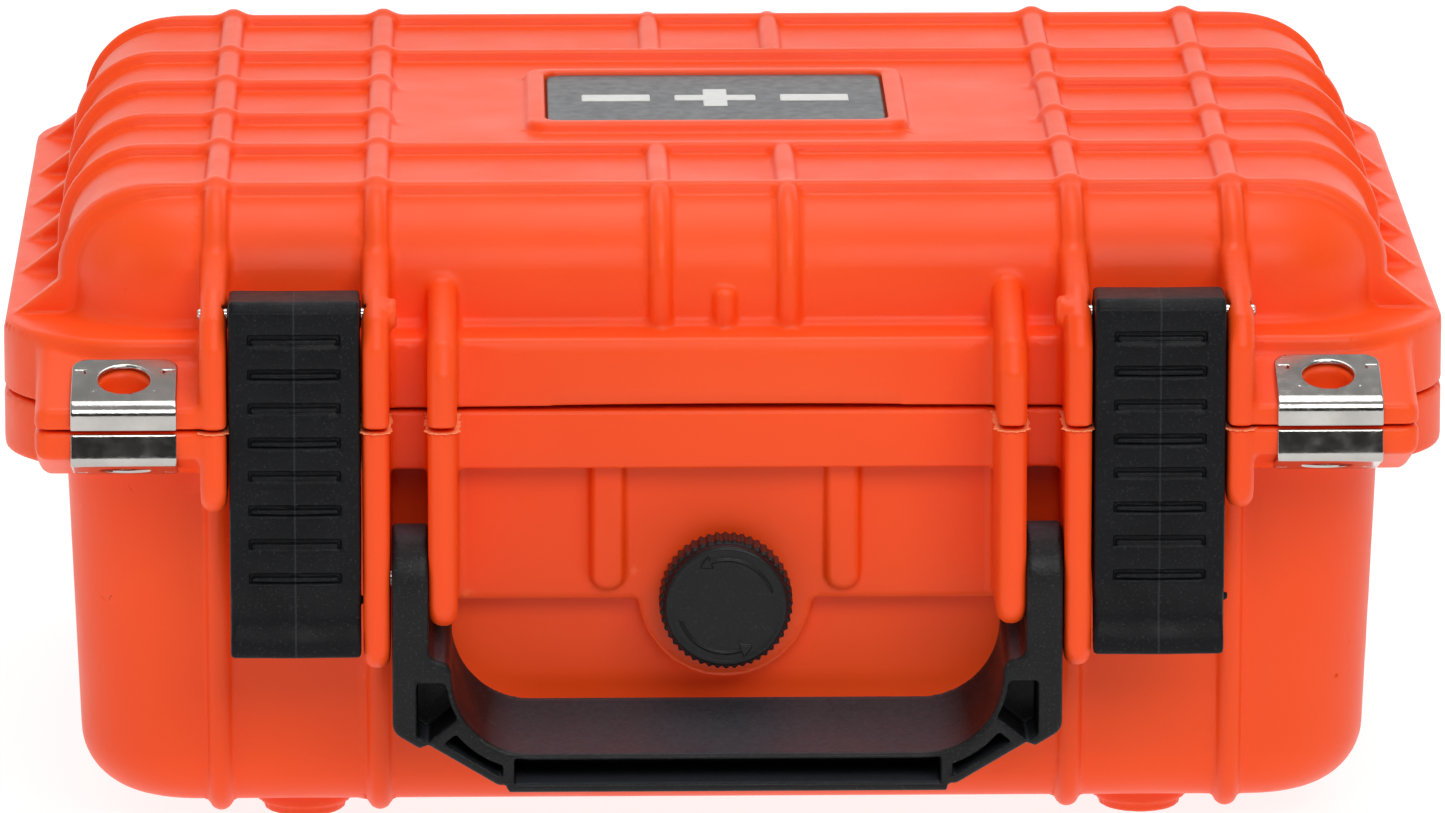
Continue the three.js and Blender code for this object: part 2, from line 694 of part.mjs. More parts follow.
function valveKnob() {
  const { radius, face, length, front, bevel, rim, socket } = KNOB;
  const back = front + length;
  const post = VALVE.post + GAP;
  const socketEnd = PLATFORM.front - GAP - VALVE_POST_LENGTH - socket;
  return turned([
    [0, front],
    [face - bevel, front],
    [face, front + bevel],
    [face, front + rim - bevel / 2],
    [radius, front + rim],
    [radius, back],
    [post, back],
    [post, socketEnd],
    [0, socketEnd],
  ], 32);
}

function hingePin(side) {
  const [inner, outer] = [HINGE_BASE[0][0] + HINGE.pinSink, HINGE_BASE[1][1] - HINGE.pinSink];
  return sideRod(inner, outer, HINGE.pin, 0, 0, side);
}

// Materials.

function orangePlastic() {
  return new THREE.MeshStandardMaterial({ color: 0xf0502a, roughness: 0.5, metalness: 0 });
}

function blackPlastic() {
  return new THREE.MeshStandardMaterial({ color: 0x2d2e30, roughness: 0.45, metalness: 0 });
}

function brightSteel() {
  return new THREE.MeshStandardMaterial({ color: 0xc9c6bf, roughness: 0.2, metalness: 1 });
}

function blackRubber() {
  return new THREE.MeshStandardMaterial({ color: 0x1b1b1c, roughness: 0.8, metalness: 0 });
}

function labelPlastic() {
  return new THREE.MeshStandardMaterial({ color: 0x3a3f43, roughness: 0.4, metalness: 0 });
}

function greyFoam() {
  return new THREE.MeshStandardMaterial({ color: 0x2b2c2e, roughness: 0.95, metalness: 0 });
}

// The assembly.

function part(name, solid, material, x = 0, y = 0, z = 0) {
  const mesh = new THREE.Mesh(geometryFrom(solid), material);
  mesh.name = name;
  mesh.position.set(x, y, z);
  return mesh;
}

function baseGroup() {
  const group = new THREE.Group();
  group.add(part("base_shell", baseShell(), orangePlastic()));
  for (const [name, side] of sides) {
    group.add(part(`base_lock_plate_${name}`, baseLockPlate(side), brightSteel()));
    group.add(part(`handle_pin_${name}`, handlePin(side), brightSteel(), 0, HANDLE_PIVOT.y, HANDLE_PIVOT.z));
    group.add(part(`hinge_pin_${name}`, hingePin(side), brightSteel(), 0, HINGE.y, HINGE.z));
  }
  group.add(part("valve_body", valveBody(), blackPlastic(), 0, 0, VALVE_Z));
  group.add(part("valve_nut", valveNut(), blackPlastic(), 0, 0, VALVE_Z));
  group.add(part("valve_seal_ring", valveSealRing(), blackRubber(), 0, 0, VALVE_Z));
  group.add(part("valve_knob", valveKnob(), blackPlastic(), 0, 0, VALVE_Z));
  group.add(part("handle", handle(), blackPlastic(), 0, HANDLE_PIVOT.y, HANDLE_PIVOT.z));
  return group;
}

function latchGroup(name, side) {
  const group = new THREE.Group();
  group.position.set(side * LATCH_X, LATCH_PIN.y, LATCH_PIN.z);
  group.add(part(`latch_lever_${name}`, latchLever(), blackPlastic()));
  group.add(part(`claw_pin_${name}`, clawPin(), brightSteel(), 0, CLAW_PIN.y, CLAW_PIN.z));
  const claw = part(`latch_claw_${name}`, latchClaw(), blackPlastic(), 0, CLAW_PIN.y, CLAW_PIN.z);
  claw.rotation.x = CLAW_REST_ANGLE;
  group.add(claw);
  return group;
}

function lidGroup() {
  const group = new THREE.Group();
  group.add(part("lid_shell", lidShell(), orangePlastic()));
  group.add(part("lid_gasket", lidGasket(), blackRubber()));
  group.add(part("lid_foam", lidFoam(), greyFoam()));
  group.add(part("lid_label", lidLabel(), labelPlastic()));
  for (const [name, side] of sides) {
    group.add(part(`lid_lock_plate_${name}`, lidLockPlate(side), brightSteel()));
    group.add(part(`latch_pin_${name}`, latchPin(side), brightSteel(), 0, LATCH_PIN.y, LATCH_PIN.z));
    group.add(latchGroup(name, side));
  }
  return group;
}

const firstAidKit = new THREE.Group();
firstAidKit.add(baseGroup(), lidGroup());

export default firstAidKit;
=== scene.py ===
import json
import math

import bmesh
import bpy
import numpy as np
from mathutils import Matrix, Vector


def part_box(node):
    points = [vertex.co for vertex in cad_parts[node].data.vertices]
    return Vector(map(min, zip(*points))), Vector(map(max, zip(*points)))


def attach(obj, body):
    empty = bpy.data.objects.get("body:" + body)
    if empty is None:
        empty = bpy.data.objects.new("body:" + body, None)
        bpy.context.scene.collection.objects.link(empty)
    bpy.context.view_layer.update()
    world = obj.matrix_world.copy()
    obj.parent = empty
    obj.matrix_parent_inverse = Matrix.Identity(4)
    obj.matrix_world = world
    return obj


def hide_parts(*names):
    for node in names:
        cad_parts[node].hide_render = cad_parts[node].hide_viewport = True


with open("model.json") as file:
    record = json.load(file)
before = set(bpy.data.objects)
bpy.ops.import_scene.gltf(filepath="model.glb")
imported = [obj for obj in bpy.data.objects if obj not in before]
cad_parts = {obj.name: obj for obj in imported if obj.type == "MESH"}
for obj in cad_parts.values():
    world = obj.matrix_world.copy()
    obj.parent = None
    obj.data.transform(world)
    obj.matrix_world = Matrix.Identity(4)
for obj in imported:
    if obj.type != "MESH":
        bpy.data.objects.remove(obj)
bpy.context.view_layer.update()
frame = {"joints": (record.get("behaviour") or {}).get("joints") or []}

import openvdb
from mathutils import Matrix, Vector

# Shapes are worked out in millimetres and turned into metres as they become meshes.
MM = 0.001
SIDES = (("left", -1), ("right", 1))
JOINTS = {joint["name"]: joint for joint in frame["joints"]}


def box_mm(node):
    low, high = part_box(node)
    return low / MM, high / MM


def pivot_mm(joint):
    return Vector(JOINTS[joint]["pos_m"]) / MM


# Places that come from the frame.
BASE_LOW, BASE_HIGH = box_mm("base_shell")
LID_LOW, LID_HIGH = box_mm("lid_shell")
FRONT = BASE_LOW.y
BACK = BASE_HIGH.y
HALF_WIDTH = BASE_HIGH.x
TOP = LID_HIGH.z
HINGE = pivot_mm("lid_hinge")
SEAM = HINGE.z
LEVER_PIN = pivot_mm("latch_right_lever")
CLAW_PIN = pivot_mm("latch_right_claw")
HANDLE_PIN = pivot_mm("handle_swing")
VALVE = pivot_mm("valve_knob_turn")

# The shells.
SHELL_STEP = 0.7
SHELL_MERGE = 0.01
SEAM_HALF_GAP = 0.25
BASE_TOP = SEAM - SEAM_HALF_GAP
LID_BOTTOM = SEAM + SEAM_HALF_GAP
WALL = 3.0
FLANGE_FRONT = FRONT + 18
FLANGE_BACK = BACK - 16
FLANGE_CORNER = 24
FLANGE_LOW = 74.5
FLANGE_HIGH = 99.5
MIDDLE_Y = (FLANGE_FRONT + FLANGE_BACK) / 2
TUB_X, TUB_FRONT, TUB_BACK, TUB_LOW = 124.4, -95, 97, 5.3
TUB_EDGE = 12
DOME_X, DOME_FRONT, DOME_BACK = 124.5, -96, 98
DOME_TOP = TOP - 2
EDGE = 14
TUB_DRAFT = -0.039
DOME_DRAFT = 0.03

# Ribs, as distances from the middle of the case.
BEAD = 2.3
BEAD_SINK = 0.1
BEAD_FILLET = 0.5
LONG_RIB_SINK = -0.45
RIDGE_HALF = 2.0
RIDGE_HEIGHT = 2.15
RIDGE_EDGE = 1.2
RIDGE_FILLET = 0.3
KNUCKLE_RADIUS = 3.0
KNUCKLE_LIFT = 0.2
LONG_RIBS = (65, 95)
SHORT_RIB = 12
CROSS_RIBS = (16, 45, 81)
BRACKETS = (
    {"x": 95, "half": 2.5, "low": 70, "shoulder": 102, "high": 114.5},
    {"x": 65, "half": 2.5, "low": 40, "shoulder": 102, "high": 114.5},
    {"x": 52.7, "half": 2.75, "low": 48, "shoulder": 97, "high": 108.5},
)
BRACKET_ROOT = -88
BOSS_LOW_X, BOSS_HIGH_X = 96.5, 128
BOSS_FRONT = FRONT + 1.2
BOSS_BACK = FRONT + 25
LOCK_X = 111.5
LOCK_HOLE_Y = FRONT + 9.4
SLOPE = 0.325
SEAM_BOW = 0.6

# Details of the shells.
SEAL_X, SEAL_MARGIN = 128, 10
TUB_CORNER, DOME_CORNER = 22, 24
INNER_CORNER, INNER_EDGE = 16, 10
PAST_SEAM = 60
BRACKET_FLAT = 0.2
BRACKET_OVERLAP = 20
BASE_BRACKET_ROUND, LID_BRACKET_ROUND = 5.0, 2.0
BOSS_ROUND, BOSS_EDGE = 1.0, 2.5
BOSS_OVERLAP = 5
BASE_NOSE, LID_NOSE = 4.2, 3
LOCK_RADIUS = 4.5
LOCK_HOLE_Z = (FLANGE_LOW - 15, FLANGE_HIGH + 10)
HINGE_BORE, HINGE_SPAN = 2.3, 81
HINGE_ARM, HINGE_EDGE = 7, 0.8
BASE_EYES = ((40, 48), (72, 80))
LID_EYE = (48.4, 71.6)
PLATFORM_HALF, PLATFORM_LOW, PLATFORM_HIGH = 50, 49, 76
PLATFORM_FRONT, PLATFORM_BACK = -98.5, TUB_FRONT + WALL
PLATFORM_EDGE, PLATFORM_FILLET = 0.8, 1.0
VALVE_SEAT, VALVE_BORE = 16.4, 6
STUB_X, STUB_HALF, STUB_LOW, STUB_HIGH = 22, 0.4, 53, 80
STUB_FRONT, STUB_EDGE, STUB_ROUND = -100.8, 1.4, 2.8
FOOT_X, FOOT_ROWS, FOOT_TOP = 79.5, (-68, 70), 8
# The radius, bottom, edge and fillet of each step of a foot.
FOOT_STEPS = ((9.2, 2, 0.6, 0.8), (7.8, 0, 0.8, 0.4))
HANDLE_BORE, HANDLE_BORE_X, HANDLE_BORE_HALF = 1.9, 58.5, 8.7
LATCH_BORE, LATCH_X = 1.45, 80
LATCH_BORE_ENDS = (17, 18.5)
LABEL_BAR, LABEL_ROOM = 4.2, 0.3
MIDDLE_RIB_Y, MIDDLE_RIB_TOP = 60, 107
KNUCKLE_FILLET = 1.6
RIM_EDGE = 0.35


# Distance shapes. Each is a pair: a function of x, y and z that is below zero inside the shape,
# and the box that holds it.


def soft_min(a, b, soft):
    if soft <= 0:
        return np.minimum(a, b)
    blend = np.clip(0.5 + 0.5 * (b - a) / soft, 0, 1)
    return b + (a - b) * blend - soft * blend * (1 - blend)


def soft_max(a, b, soft):
    return -soft_min(-a, -b, soft)


def rounded_and(a, b, radius):
    """Where both a and b are inside, with the edge between them rounded."""
    a = a + radius
    b = b + radius
    return np.minimum(np.maximum(a, b), 0) + np.hypot(np.maximum(a, 0), np.maximum(b, 0)) - radius


def outline(points, grown=0.0):
    """Distance to a closed outline in two directions. Growing it rounds its outer corners."""

    def distance(u, v):
        u, v = np.broadcast_arrays(u, v)
        nearest = np.full(u.shape, 1e9, np.float32)
        inside = np.zeros(u.shape, bool)
        for (au, av), (bu, bv) in zip(points, points[1:] + points[:1]):
            eu, ev = bu - au, bv - av
            wu, wv = u - au, v - av
            along = np.clip((wu * eu + wv * ev) / (eu * eu + ev * ev), 0, 1)
            nearest = np.minimum(nearest, (wu - eu * along) ** 2 + (wv - ev * along) ** 2)
            if ev != 0:
                crosses = (v >= min(av, bv)) & (v < max(av, bv))
                inside ^= crosses & (u < au + (v - av) * eu / ev)
        return np.where(inside, -1, 1) * np.sqrt(nearest) - grown

    return distance


def rectangle(u0, u1, v0, v1):
    return [(u0, v0), (u1, v0), (u1, v1), (u0, v1)]


def limits(points, grown=0.0):
    u = [p[0] for p in points]
    v = [p[1] for p in points]
    return (min(u) - grown, min(v) - grown), (max(u) + grown, max(v) + grown)


def block(low, high, corner, edge, draft=0.0, full=0.0):
    """Rounded in plan by corner and along its top and bottom by edge. Its walls lean in by draft
    for each millimetre above the level where they have their full size."""
    middle = [(a + b) / 2 for a, b in zip(low, high)]
    half = [(b - a) / 2 for a, b in zip(low, high)]

    def distance(x, y, z):
        lean = draft * (z - full)
        over_x = np.abs(x - middle[0]) - half[0] + corner + lean
        over_y = np.abs(y - middle[1]) - half[1] + corner + lean
        side = np.hypot(np.maximum(over_x, 0), np.maximum(over_y, 0))
        side = side + np.minimum(np.maximum(over_x, over_y), 0) - corner
        return rounded_and(side, np.abs(z - middle[2]) - half[2], edge)

    spread = abs(draft) * max(abs(high[2] - full), abs(low[2] - full))
    return distance, [low[0] - spread, low[1] - spread, low[2]], [high[0] + spread, high[1] + spread, high[2]]


def along_x(points, centre, half, edge, grown=0.0):
    """An outline in Y and Z, lying along X."""
    profile = outline(points, grown)
    (y0, z0), (y1, z1) = limits(points, grown)

    def distance(x, y, z):
        return rounded_and(profile(y, z), np.abs(x - centre) - half, edge)

    return distance, [centre - half, y0, z0], [centre + half, y1, z1]


def along_y(points, front, back, edge, grown=0.0):
    """An outline in X and Z, lying along Y."""
    profile = outline(points, grown)
    (x0, z0), (x1, z1) = limits(points, grown)

    def distance(x, y, z):
        return rounded_and(profile(x, z), np.abs(y - (front + back) / 2) - (back - front) / 2, edge)

    return distance, [x0, front, z0], [x1, back, z1]


def rod(axis, radius, start, end, centre, edge=0.0):
    """A round rod along axis 0, 1 or 2. centre gives its other two coordinates in order."""
    others = [i for i in range(3) if i != axis]

    def distance(*place):
        side = np.hypot(place[others[0]] - centre[0], place[others[1]] - centre[1]) - radius
        return rounded_and(side, np.abs(place[axis] - (start + end) / 2) - (end - start) / 2, edge)

    low = [0.0, 0.0, 0.0]
    high = [0.0, 0.0, 0.0]
    low[axis], high[axis] = start, end
    for i, c in zip(others, centre):
        low[i], high[i] = c - radius, c + radius
    return distance, low, high


def ball(centre, radius):
    def distance(x, y, z):
        return np.sqrt((x - centre[0]) ** 2 + (y - centre[1]) ** 2 + (z - centre[2]) ** 2) - radius

    return distance, [c - radius for c in centre], [c + radius for c in centre]


def bead(shape, axis, centre, radius=BEAD, sink=BEAD_SINK, low=None, high=None):
    """A round rib that follows the surface of a shape, where it crosses axis at centre."""
    surface, box_low, box_high = shape
    low = list(low or [v - radius for v in box_low])
    high = list(high or [v + radius for v in box_high])
    low[axis] = centre - radius
    high[axis] = centre + radius

    def distance(*place):
        return np.hypot(place[axis] - centre, surface(*place) + sink) - radius

    return distance, low, high


def ridge(shape, centre, low=None, high=None):
    """A rib with upright sides that follows the surface of a shape, where it crosses Y at centre."""
    surface, box_low, box_high = shape
    low = list(low or [v - RIDGE_HEIGHT for v in box_low])
    high = list(high or [v + RIDGE_HEIGHT for v in box_high])
    low[1] = centre - RIDGE_HALF
    high[1] = centre + RIDGE_HALF

    def distance(x, y, z):
        depth = surface(x, y, z)
        layer = np.maximum(depth - RIDGE_HEIGHT, -depth - 2)
        return rounded_and(layer, np.abs(y - centre) - RIDGE_HALF, RIDGE_EDGE)

    return distance, low, high


# How many cells of the grid lie round a shape, and how many the distances are kept for.
MARGIN_CELLS, BAND_CELLS = 4, 3
FAR = 1e3


class Clay:
    """A solid kept as distances on a grid. Shapes are joined to it and cut from it softly."""

    def __init__(self, low, high, step):
        self.step = step
        self.low = [v - MARGIN_CELLS * step for v in low]
        counts = [int(math.ceil((b - a) / step)) + 2 * MARGIN_CELLS for a, b in zip(low, high)]
        self.axes = [np.float32(a) + np.float32(step) * np.arange(n, dtype=np.float32)
                     for a, n in zip(self.low, counts)]
        self.field = np.full(counts, FAR, np.float32)

    def window(self, low, high, reach):
        places = []
        slices = []
        for i in range(3):
            first = max(0, int(math.floor((low[i] - reach - self.low[i]) / self.step)))
            last = min(len(self.axes[i]), int(math.ceil((high[i] + reach - self.low[i]) / self.step)) + 1)
            slices.append(slice(first, max(first, last)))
            shape = [1, 1, 1]
            shape[i] = -1
            places.append(self.axes[i][slices[i]].reshape(shape))
        return tuple(slices), places

    def join(self, shape, soft=0.0):
        self.blend(shape, soft, soft_min, 1)

    def cut(self, shape, soft=0.0):
        self.blend(shape, soft, soft_max, -1)

    def blend(self, shape, soft, meet, sign):
        distance, low, high = shape
        where, place = self.window(low, high, soft + MARGIN_CELLS * self.step)
        self.field[where] = meet(self.field[where], sign * distance(*place).astype(np.float32), soft)

    def keep(self, axis, sign, level, edge=0.0):
        """Keeps what lies on one side of a level: below it with sign 1, above it with sign -1."""
        shape = [1, 1, 1]
        shape[axis] = -1
        flat = sign * (self.axes[axis].reshape(shape) - np.float32(level))
        self.field = rounded_and(self.field, flat, edge).astype(np.float32)

    def mesh(self, name, material, adaptivity=0.0):
        band = BAND_CELLS * self.step
        grid = openvdb.FloatGrid(band)
        grid.copyFromArray(np.clip(self.field, -band, band))
        points, triangles, quads = grid.convertToPolygons(isovalue=0.0, adaptivity=adaptivity)
        points = (points * self.step + np.array(self.low, np.float32)) * MM
        faces = triangles.tolist() + quads.tolist()
        return without_slivers(mesh_object(name, points.tolist(), faces, material))


# Meshes.

SLIVER = 0.01 * MM
SHARP_DEGREES = 35
PIN_CHAMFER = 0.25
PIN_SEGMENTS = 40


def without_slivers(thing):
    """Drops faces with next to no area, which would bend the shading around them."""
    shape = bmesh.new()
    shape.from_mesh(thing.data)
    bmesh.ops.dissolve_degenerate(shape, dist=SLIVER, edges=shape.edges)
    shape.to_mesh(thing.data)
    shape.free()
    return thing


def mesh_object(name, points, faces, material, smooth=True):
    mesh = bpy.data.meshes.new(name)
    mesh.from_pydata(points, [], faces)
    mesh.polygons.foreach_set("use_smooth", [smooth] * len(mesh.polygons))
    mesh.validate()
    mesh.update()
    thing = bpy.data.objects.new(name, mesh)
    bpy.context.scene.collection.objects.link(thing)
    mesh.materials.append(material)
    return thing


def sharp_edges(thing):
    """Keeps edges that turn more than SHARP_DEGREES sharp while the rest shade smoothly."""
    thing.data.set_sharp_from_angle(angle=math.radians(SHARP_DEGREES))
    return thing


def lathe(name, profile, start, axis, material, segments=64):
    """A closed turned solid. profile lists (radius, distance along the axis) from one end on the
    axis to the other."""
    axis = Vector(axis).normalized()
    side = axis.orthogonal().normalized()
    other = axis.cross(side)
    points = []
    rows = profile[1:-1]
    angles = [2 * math.pi * i / segments for i in range(segments)]
    for radius, along in rows:
        for angle in angles:
            point = Vector(start) + axis * along
            point += (side * math.cos(angle) + other * math.sin(angle)) * radius
            points.append(tuple(point * MM))
    first = len(points)
    points.append(tuple((Vector(start) + axis * profile[0][1]) * MM))
    points.append(tuple((Vector(start) + axis * profile[-1][1]) * MM))
    faces = []
    for row in range(len(rows) - 1):
        for i in range(segments):
            j = (i + 1) % segments
            a, b = row * segments, (row + 1) * segments
            faces.append((a + i, a + j, b + j, b + i))
    end = (len(rows) - 1) * segments
    for i in range(segments):
        j = (i + 1) % segments
        faces.append((first, j, i))
        faces.append((first + 1, end + i, end + j))
    return sharp_edges(mesh_object(name, points, faces, material))


def place_pin(node_name, body, proud=0.0):
    """A steel pin with chamfered ends, where the CAD pin lies along X. Its outer end may stand proud."""
    low, high = box_mm(node_name)
    centre = (low + high) / 2
    radius = (high.z - low.z) / 2
    if centre.x < 0:
        low.x -= proud
    length = high.x - low.x + (proud if centre.x > 0 else 0)
    narrow = radius - PIN_CHAMFER
    profile = [(0, 0), (narrow, 0), (radius, PIN_CHAMFER), (radius, length - PIN_CHAMFER),
               (narrow, length), (0, length)]
    turned = lathe(f"{node_name}_turned", profile, (low.x, centre.y, centre.z), (1, 0, 0), STEEL,
                   PIN_SEGMENTS)
    place(turned, body, "bright_steel", node_name)


def place(piece, body, slot, *nodes):
    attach(piece, body)
    if nodes:
        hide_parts(*nodes)
    return piece


# Materials.

# The values between which a noise mostly lies.
NOISE_LOW, NOISE_HIGH = 0.3, 0.7


def new_material(name):
    material = bpy.data.materials.new(name)
    material.use_nodes = True
    tree = material.node_tree
    return material, tree, tree.nodes["Principled BSDF"]


def node(tree, kind, inputs=None, **settings):
    made = tree.nodes.new(kind)
    for key, value in settings.items():
        setattr(made, key, value)
    for key, value in (inputs or {}).items():
        if isinstance(value, bpy.types.NodeSocket):
            tree.links.new(value, made.inputs[key])
        else:
            made.inputs[key].default_value = value
    return made


def noise(tree, scale, detail=4.0, roughness=0.55):
    place_in = node(tree, "ShaderNodeTexCoord").outputs["Object"]
    inputs = {"Vector": place_in, "Scale": scale, "Detail": detail, "Roughness": roughness}
    return node(tree, "ShaderNodeTexNoise", inputs).outputs["Fac"]


def ramp(tree, factor, stops):
    made = node(tree, "ShaderNodeValToRGB", {"Fac": factor})
    elements = made.color_ramp.elements
    while len(elements) < len(stops):
        elements.new(0.5)
    for element, (position, colour) in zip(elements, stops):
        element.position = position
        element.color = (*colour, 1) if len(colour) == 3 else colour
    return made.outputs["Color"]


def remap(tree, value, from_low, from_high, to_low, to_high):
    inputs = {"Value": value, "From Min": from_low, "From Max": from_high,
              "To Min": to_low, "To Max": to_high}
    return node(tree, "ShaderNodeMapRange", inputs).outputs["Result"]


def mixed(tree, factor, a, b):
    over = (*b, 1) if isinstance(b, tuple) else b
    return node(tree, "ShaderNodeMix", {0: factor, 6: a, 7: over}, data_type="RGBA").outputs[2]


def bumped(tree, shader, height, distance, strength):
    bump = node(tree, "ShaderNodeBump", {"Height": height, "Distance": distance, "Strength": strength})
    tree.links.new(bump.outputs["Normal"], shader.inputs["Normal"])


def tinted(tree, factor, low_colour, high_colour):
    return ramp(tree, factor, [(NOISE_LOW, low_colour), (NOISE_HIGH, high_colour)])


def coat(tree, shader, colour, grain, rough_low, rough_high):
    """Links the base colour, and a roughness that follows the grain."""
    tree.links.new(colour, shader.inputs["Base Color"])
    rough = remap(tree, grain, NOISE_LOW, NOISE_HIGH, rough_low, rough_high)
    tree.links.new(rough, shader.inputs["Roughness"])


def orange_plastic():
    """Satin moulded polypropylene: even colour, a fine grain, and edges a touch paler."""
    material, tree, shader = new_material("orange_plastic")
    colour = tinted(tree, noise(tree, 14, 3), (0.90, 0.068, 0.006), (0.96, 0.084, 0.009))
    edges = node(tree, "ShaderNodeNewGeometry").outputs["Pointiness"]
    worn = remap(tree, edges, 0.53, 0.62, 0.0, 0.35)
    colour = mixed(tree, worn, colour, (0.98, 0.20, 0.07))
    coat(tree, shader, colour, noise(tree, 60, 5), 0.36, 0.46)
    shader.inputs["Specular IOR Level"].default_value = 0.28
    bumped(tree, shader, noise(tree, 1400, 2), 0.00006, 0.35)
    return material


def black_plastic(name, shine, dust_and_sheen, speckle, seam=0.0):
    """Satin black nylon with a fine grain and pale specks. What faces up is mixed towards grey: partly
    real dusting, partly a painted sheen of the bright room above. A mould seam runs down the middle of a
    lever."""
    material, tree, shader = new_material(name)
    blotches = noise(tree, 90, 6)
    colour = ramp(tree, blotches, [(0.3, (0.0045, 0.0047, 0.0055)), (0.75, (0.008, 0.0084, 0.0096))])
    normal = node(tree, "ShaderNodeNewGeometry").outputs["Normal"]
    up = node(tree, "ShaderNodeSeparateXYZ", {"Vector": normal})
    # Upward faces get a grey mix: partly dusting, partly a painted sheen that stands in for reflected light.
    lying = remap(tree, up.outputs["Z"], 0.78, 0.98, 0.0, dust_and_sheen)
    grey = tinted(tree, noise(tree, 900, 8, 0.75), (0.032, 0.037, 0.045), (0.062, 0.070, 0.084))
    colour = mixed(tree, lying, colour, grey)
    specks = remap(tree, noise(tree, 1900, 5, 0.75), 0.56, 0.74, 0.0, speckle)
    colour = mixed(tree, specks, colour, (0.10, 0.10, 0.105))
    if seam:
        place_in = node(tree, "ShaderNodeTexCoord").outputs["Object"]
        across = node(tree, "ShaderNodeSeparateXYZ", {"Vector": place_in}).outputs["X"]
        away = node(tree, "ShaderNodeMath", {0: across}, operation="ABSOLUTE").outputs["Value"]
        colour = mixed(tree, remap(tree, away, 0.0001, 0.00022, seam, 0.0), colour, (0.06, 0.062, 0.068))
    coat(tree, shader, colour, noise(tree, 140, 5), 0.32, 0.5)
    shader.inputs["Specular IOR Level"].default_value = shine
    bumped(tree, shader, noise(tree, 1800, 3), 0.0001, 0.6)
    return material


def plain_material(name, tint_noise, colours, rough_noise, roughness, grain=None):
    """Colour and roughness each follow a noise, given as its scale and detail. A grain also has a
    distance and a strength."""
    material, tree, shader = new_material(name)
    colour = tinted(tree, noise(tree, *tint_noise), *colours)
    coat(tree, shader, colour, noise(tree, *rough_noise), *roughness)
    if grain:
        scale, detail, distance, strength = grain
        bumped(tree, shader, noise(tree, scale, detail), distance, strength)
    return material


def bright_steel():
    """Nickel-plated steel with faint brushing and tiny pits."""
    material = plain_material("bright_steel", (120, 4), ((0.44, 0.425, 0.40), (0.56, 0.54, 0.51)),
                              (300, 6), (0.07, 0.2), (2200, 3, 0.00003, 0.5))
    material.node_tree.nodes["Principled BSDF"].inputs["Metallic"].default_value = 1.0
    return material


def grey_foam():
    """Open-cell foam."""
    material, tree, shader = new_material("grey_foam")
    cells = noise(tree, 1500, 6, 0.7)
    colour = ramp(tree, cells, [(0.35, (0.010, 0.010, 0.011)), (0.65, (0.055, 0.055, 0.058))])
    coat(tree, shader, colour, cells, 0.85, 1.0)
    bumped(tree, shader, cells, 0.0006, 0.9)
    return material


def floor_paint():
    material, tree, shader = new_material("floor_paint")
    colour = tinted(tree, noise(tree, 3, 3), (0.21, 0.21, 0.21), (0.23, 0.23, 0.23))
    tree.links.new(colour, shader.inputs["Base Color"])
    shader.inputs["Roughness"].default_value = 0.8
    shader.inputs["Emission Color"].default_value = (1, 1, 1, 1)
    shader.inputs["Emission Strength"].default_value = 0.86
    return material


ORANGE = orange_plastic()
# The third value sets the grey on upward faces, partly dusting and partly painted sheen; on the handle it is
# mostly painted sheen.
BLACK = black_plastic("black_plastic", 0.25, 0.3, 0.25)
LEVER_BLACK = black_plastic("lever_plastic", 0.12, 0.1, 0.35, 0.3)
HANDLE_BLACK = black_plastic("handle_plastic", 0.22, 0.95, 0.6)
STEEL = bright_steel()
RUBBER = plain_material("black_rubber", (200, 4), ((0.010, 0.010, 0.011), (0.020, 0.020, 0.021)),
                        (500, 4), (0.6, 0.8), (1500, 3, 0.00008, 0.4))
# Dark grey satin film, and the pale print on it.
LABEL = plain_material("label_plastic", (700, 4), ((0.040, 0.043, 0.048), (0.055, 0.060, 0.066)),
                       (400, 4), (0.30, 0.42), (2500, 2, 0.00002, 0.3))
PRINT = plain_material("label_print", (500, 4), ((0.62, 0.62, 0.60), (0.72, 0.72, 0.70)),
                       (500, 4), (0.35, 0.5))
FOAM = grey_foam()
# Thin fins of the shell's plastic look paler than the rest.
FLASH = plain_material("flash_plastic", (900, 3), ((0.93, 0.18, 0.05), (0.97, 0.36, 0.17)),
                       (500, 3), (0.35, 0.55))


# The base shell.


def flange_block(z0, z1, inset=0.0, edge=1.0):
    low = (-HALF_WIDTH + inset, FLANGE_FRONT + inset, z0)
    high = (HALF_WIDTH - inset, FLANGE_BACK - inset, z1)
    return block(low, high, FLANGE_CORNER - inset, edge)


def tub_block(inset=0.0, low=TUB_LOW, corner=TUB_CORNER, edge=TUB_EDGE):
    a = (-TUB_X + inset, TUB_FRONT + inset, low)
    b = (TUB_X - inset, TUB_BACK - inset, SEAM + PAST_SEAM)
    return block(a, b, corner, edge, TUB_DRAFT, SEAM)


def dome_block(inset=0.0, high=DOME_TOP, corner=DOME_CORNER, edge=EDGE):
    a = (-DOME_X + inset, DOME_FRONT + inset, SEAM - PAST_SEAM)
    b = (DOME_X - inset, DOME_BACK - inset, high)
    return block(a, b, corner, edge, DOME_DRAFT, SEAM)


def seal_ring(width, z0, z1, edge):
    """A ring that follows the flange along the line of the seal."""
    path = flange_block(z0 - SEAL_MARGIN, z1 + SEAL_MARGIN, HALF_WIDTH - SEAL_X, 0.0)[0]
    middle, half = (z0 + z1) / 2, (z1 - z0) / 2

    def distance(x, y, z):
        side = np.abs(path(x, y, np.float32(middle) + 0 * z)) - width / 2
        return rounded_and(side, np.abs(z - middle) - half, edge)

    return distance, [-HALF_WIDTH, FLANGE_FRONT, z0], [HALF_WIDTH, FLANGE_BACK, z1]


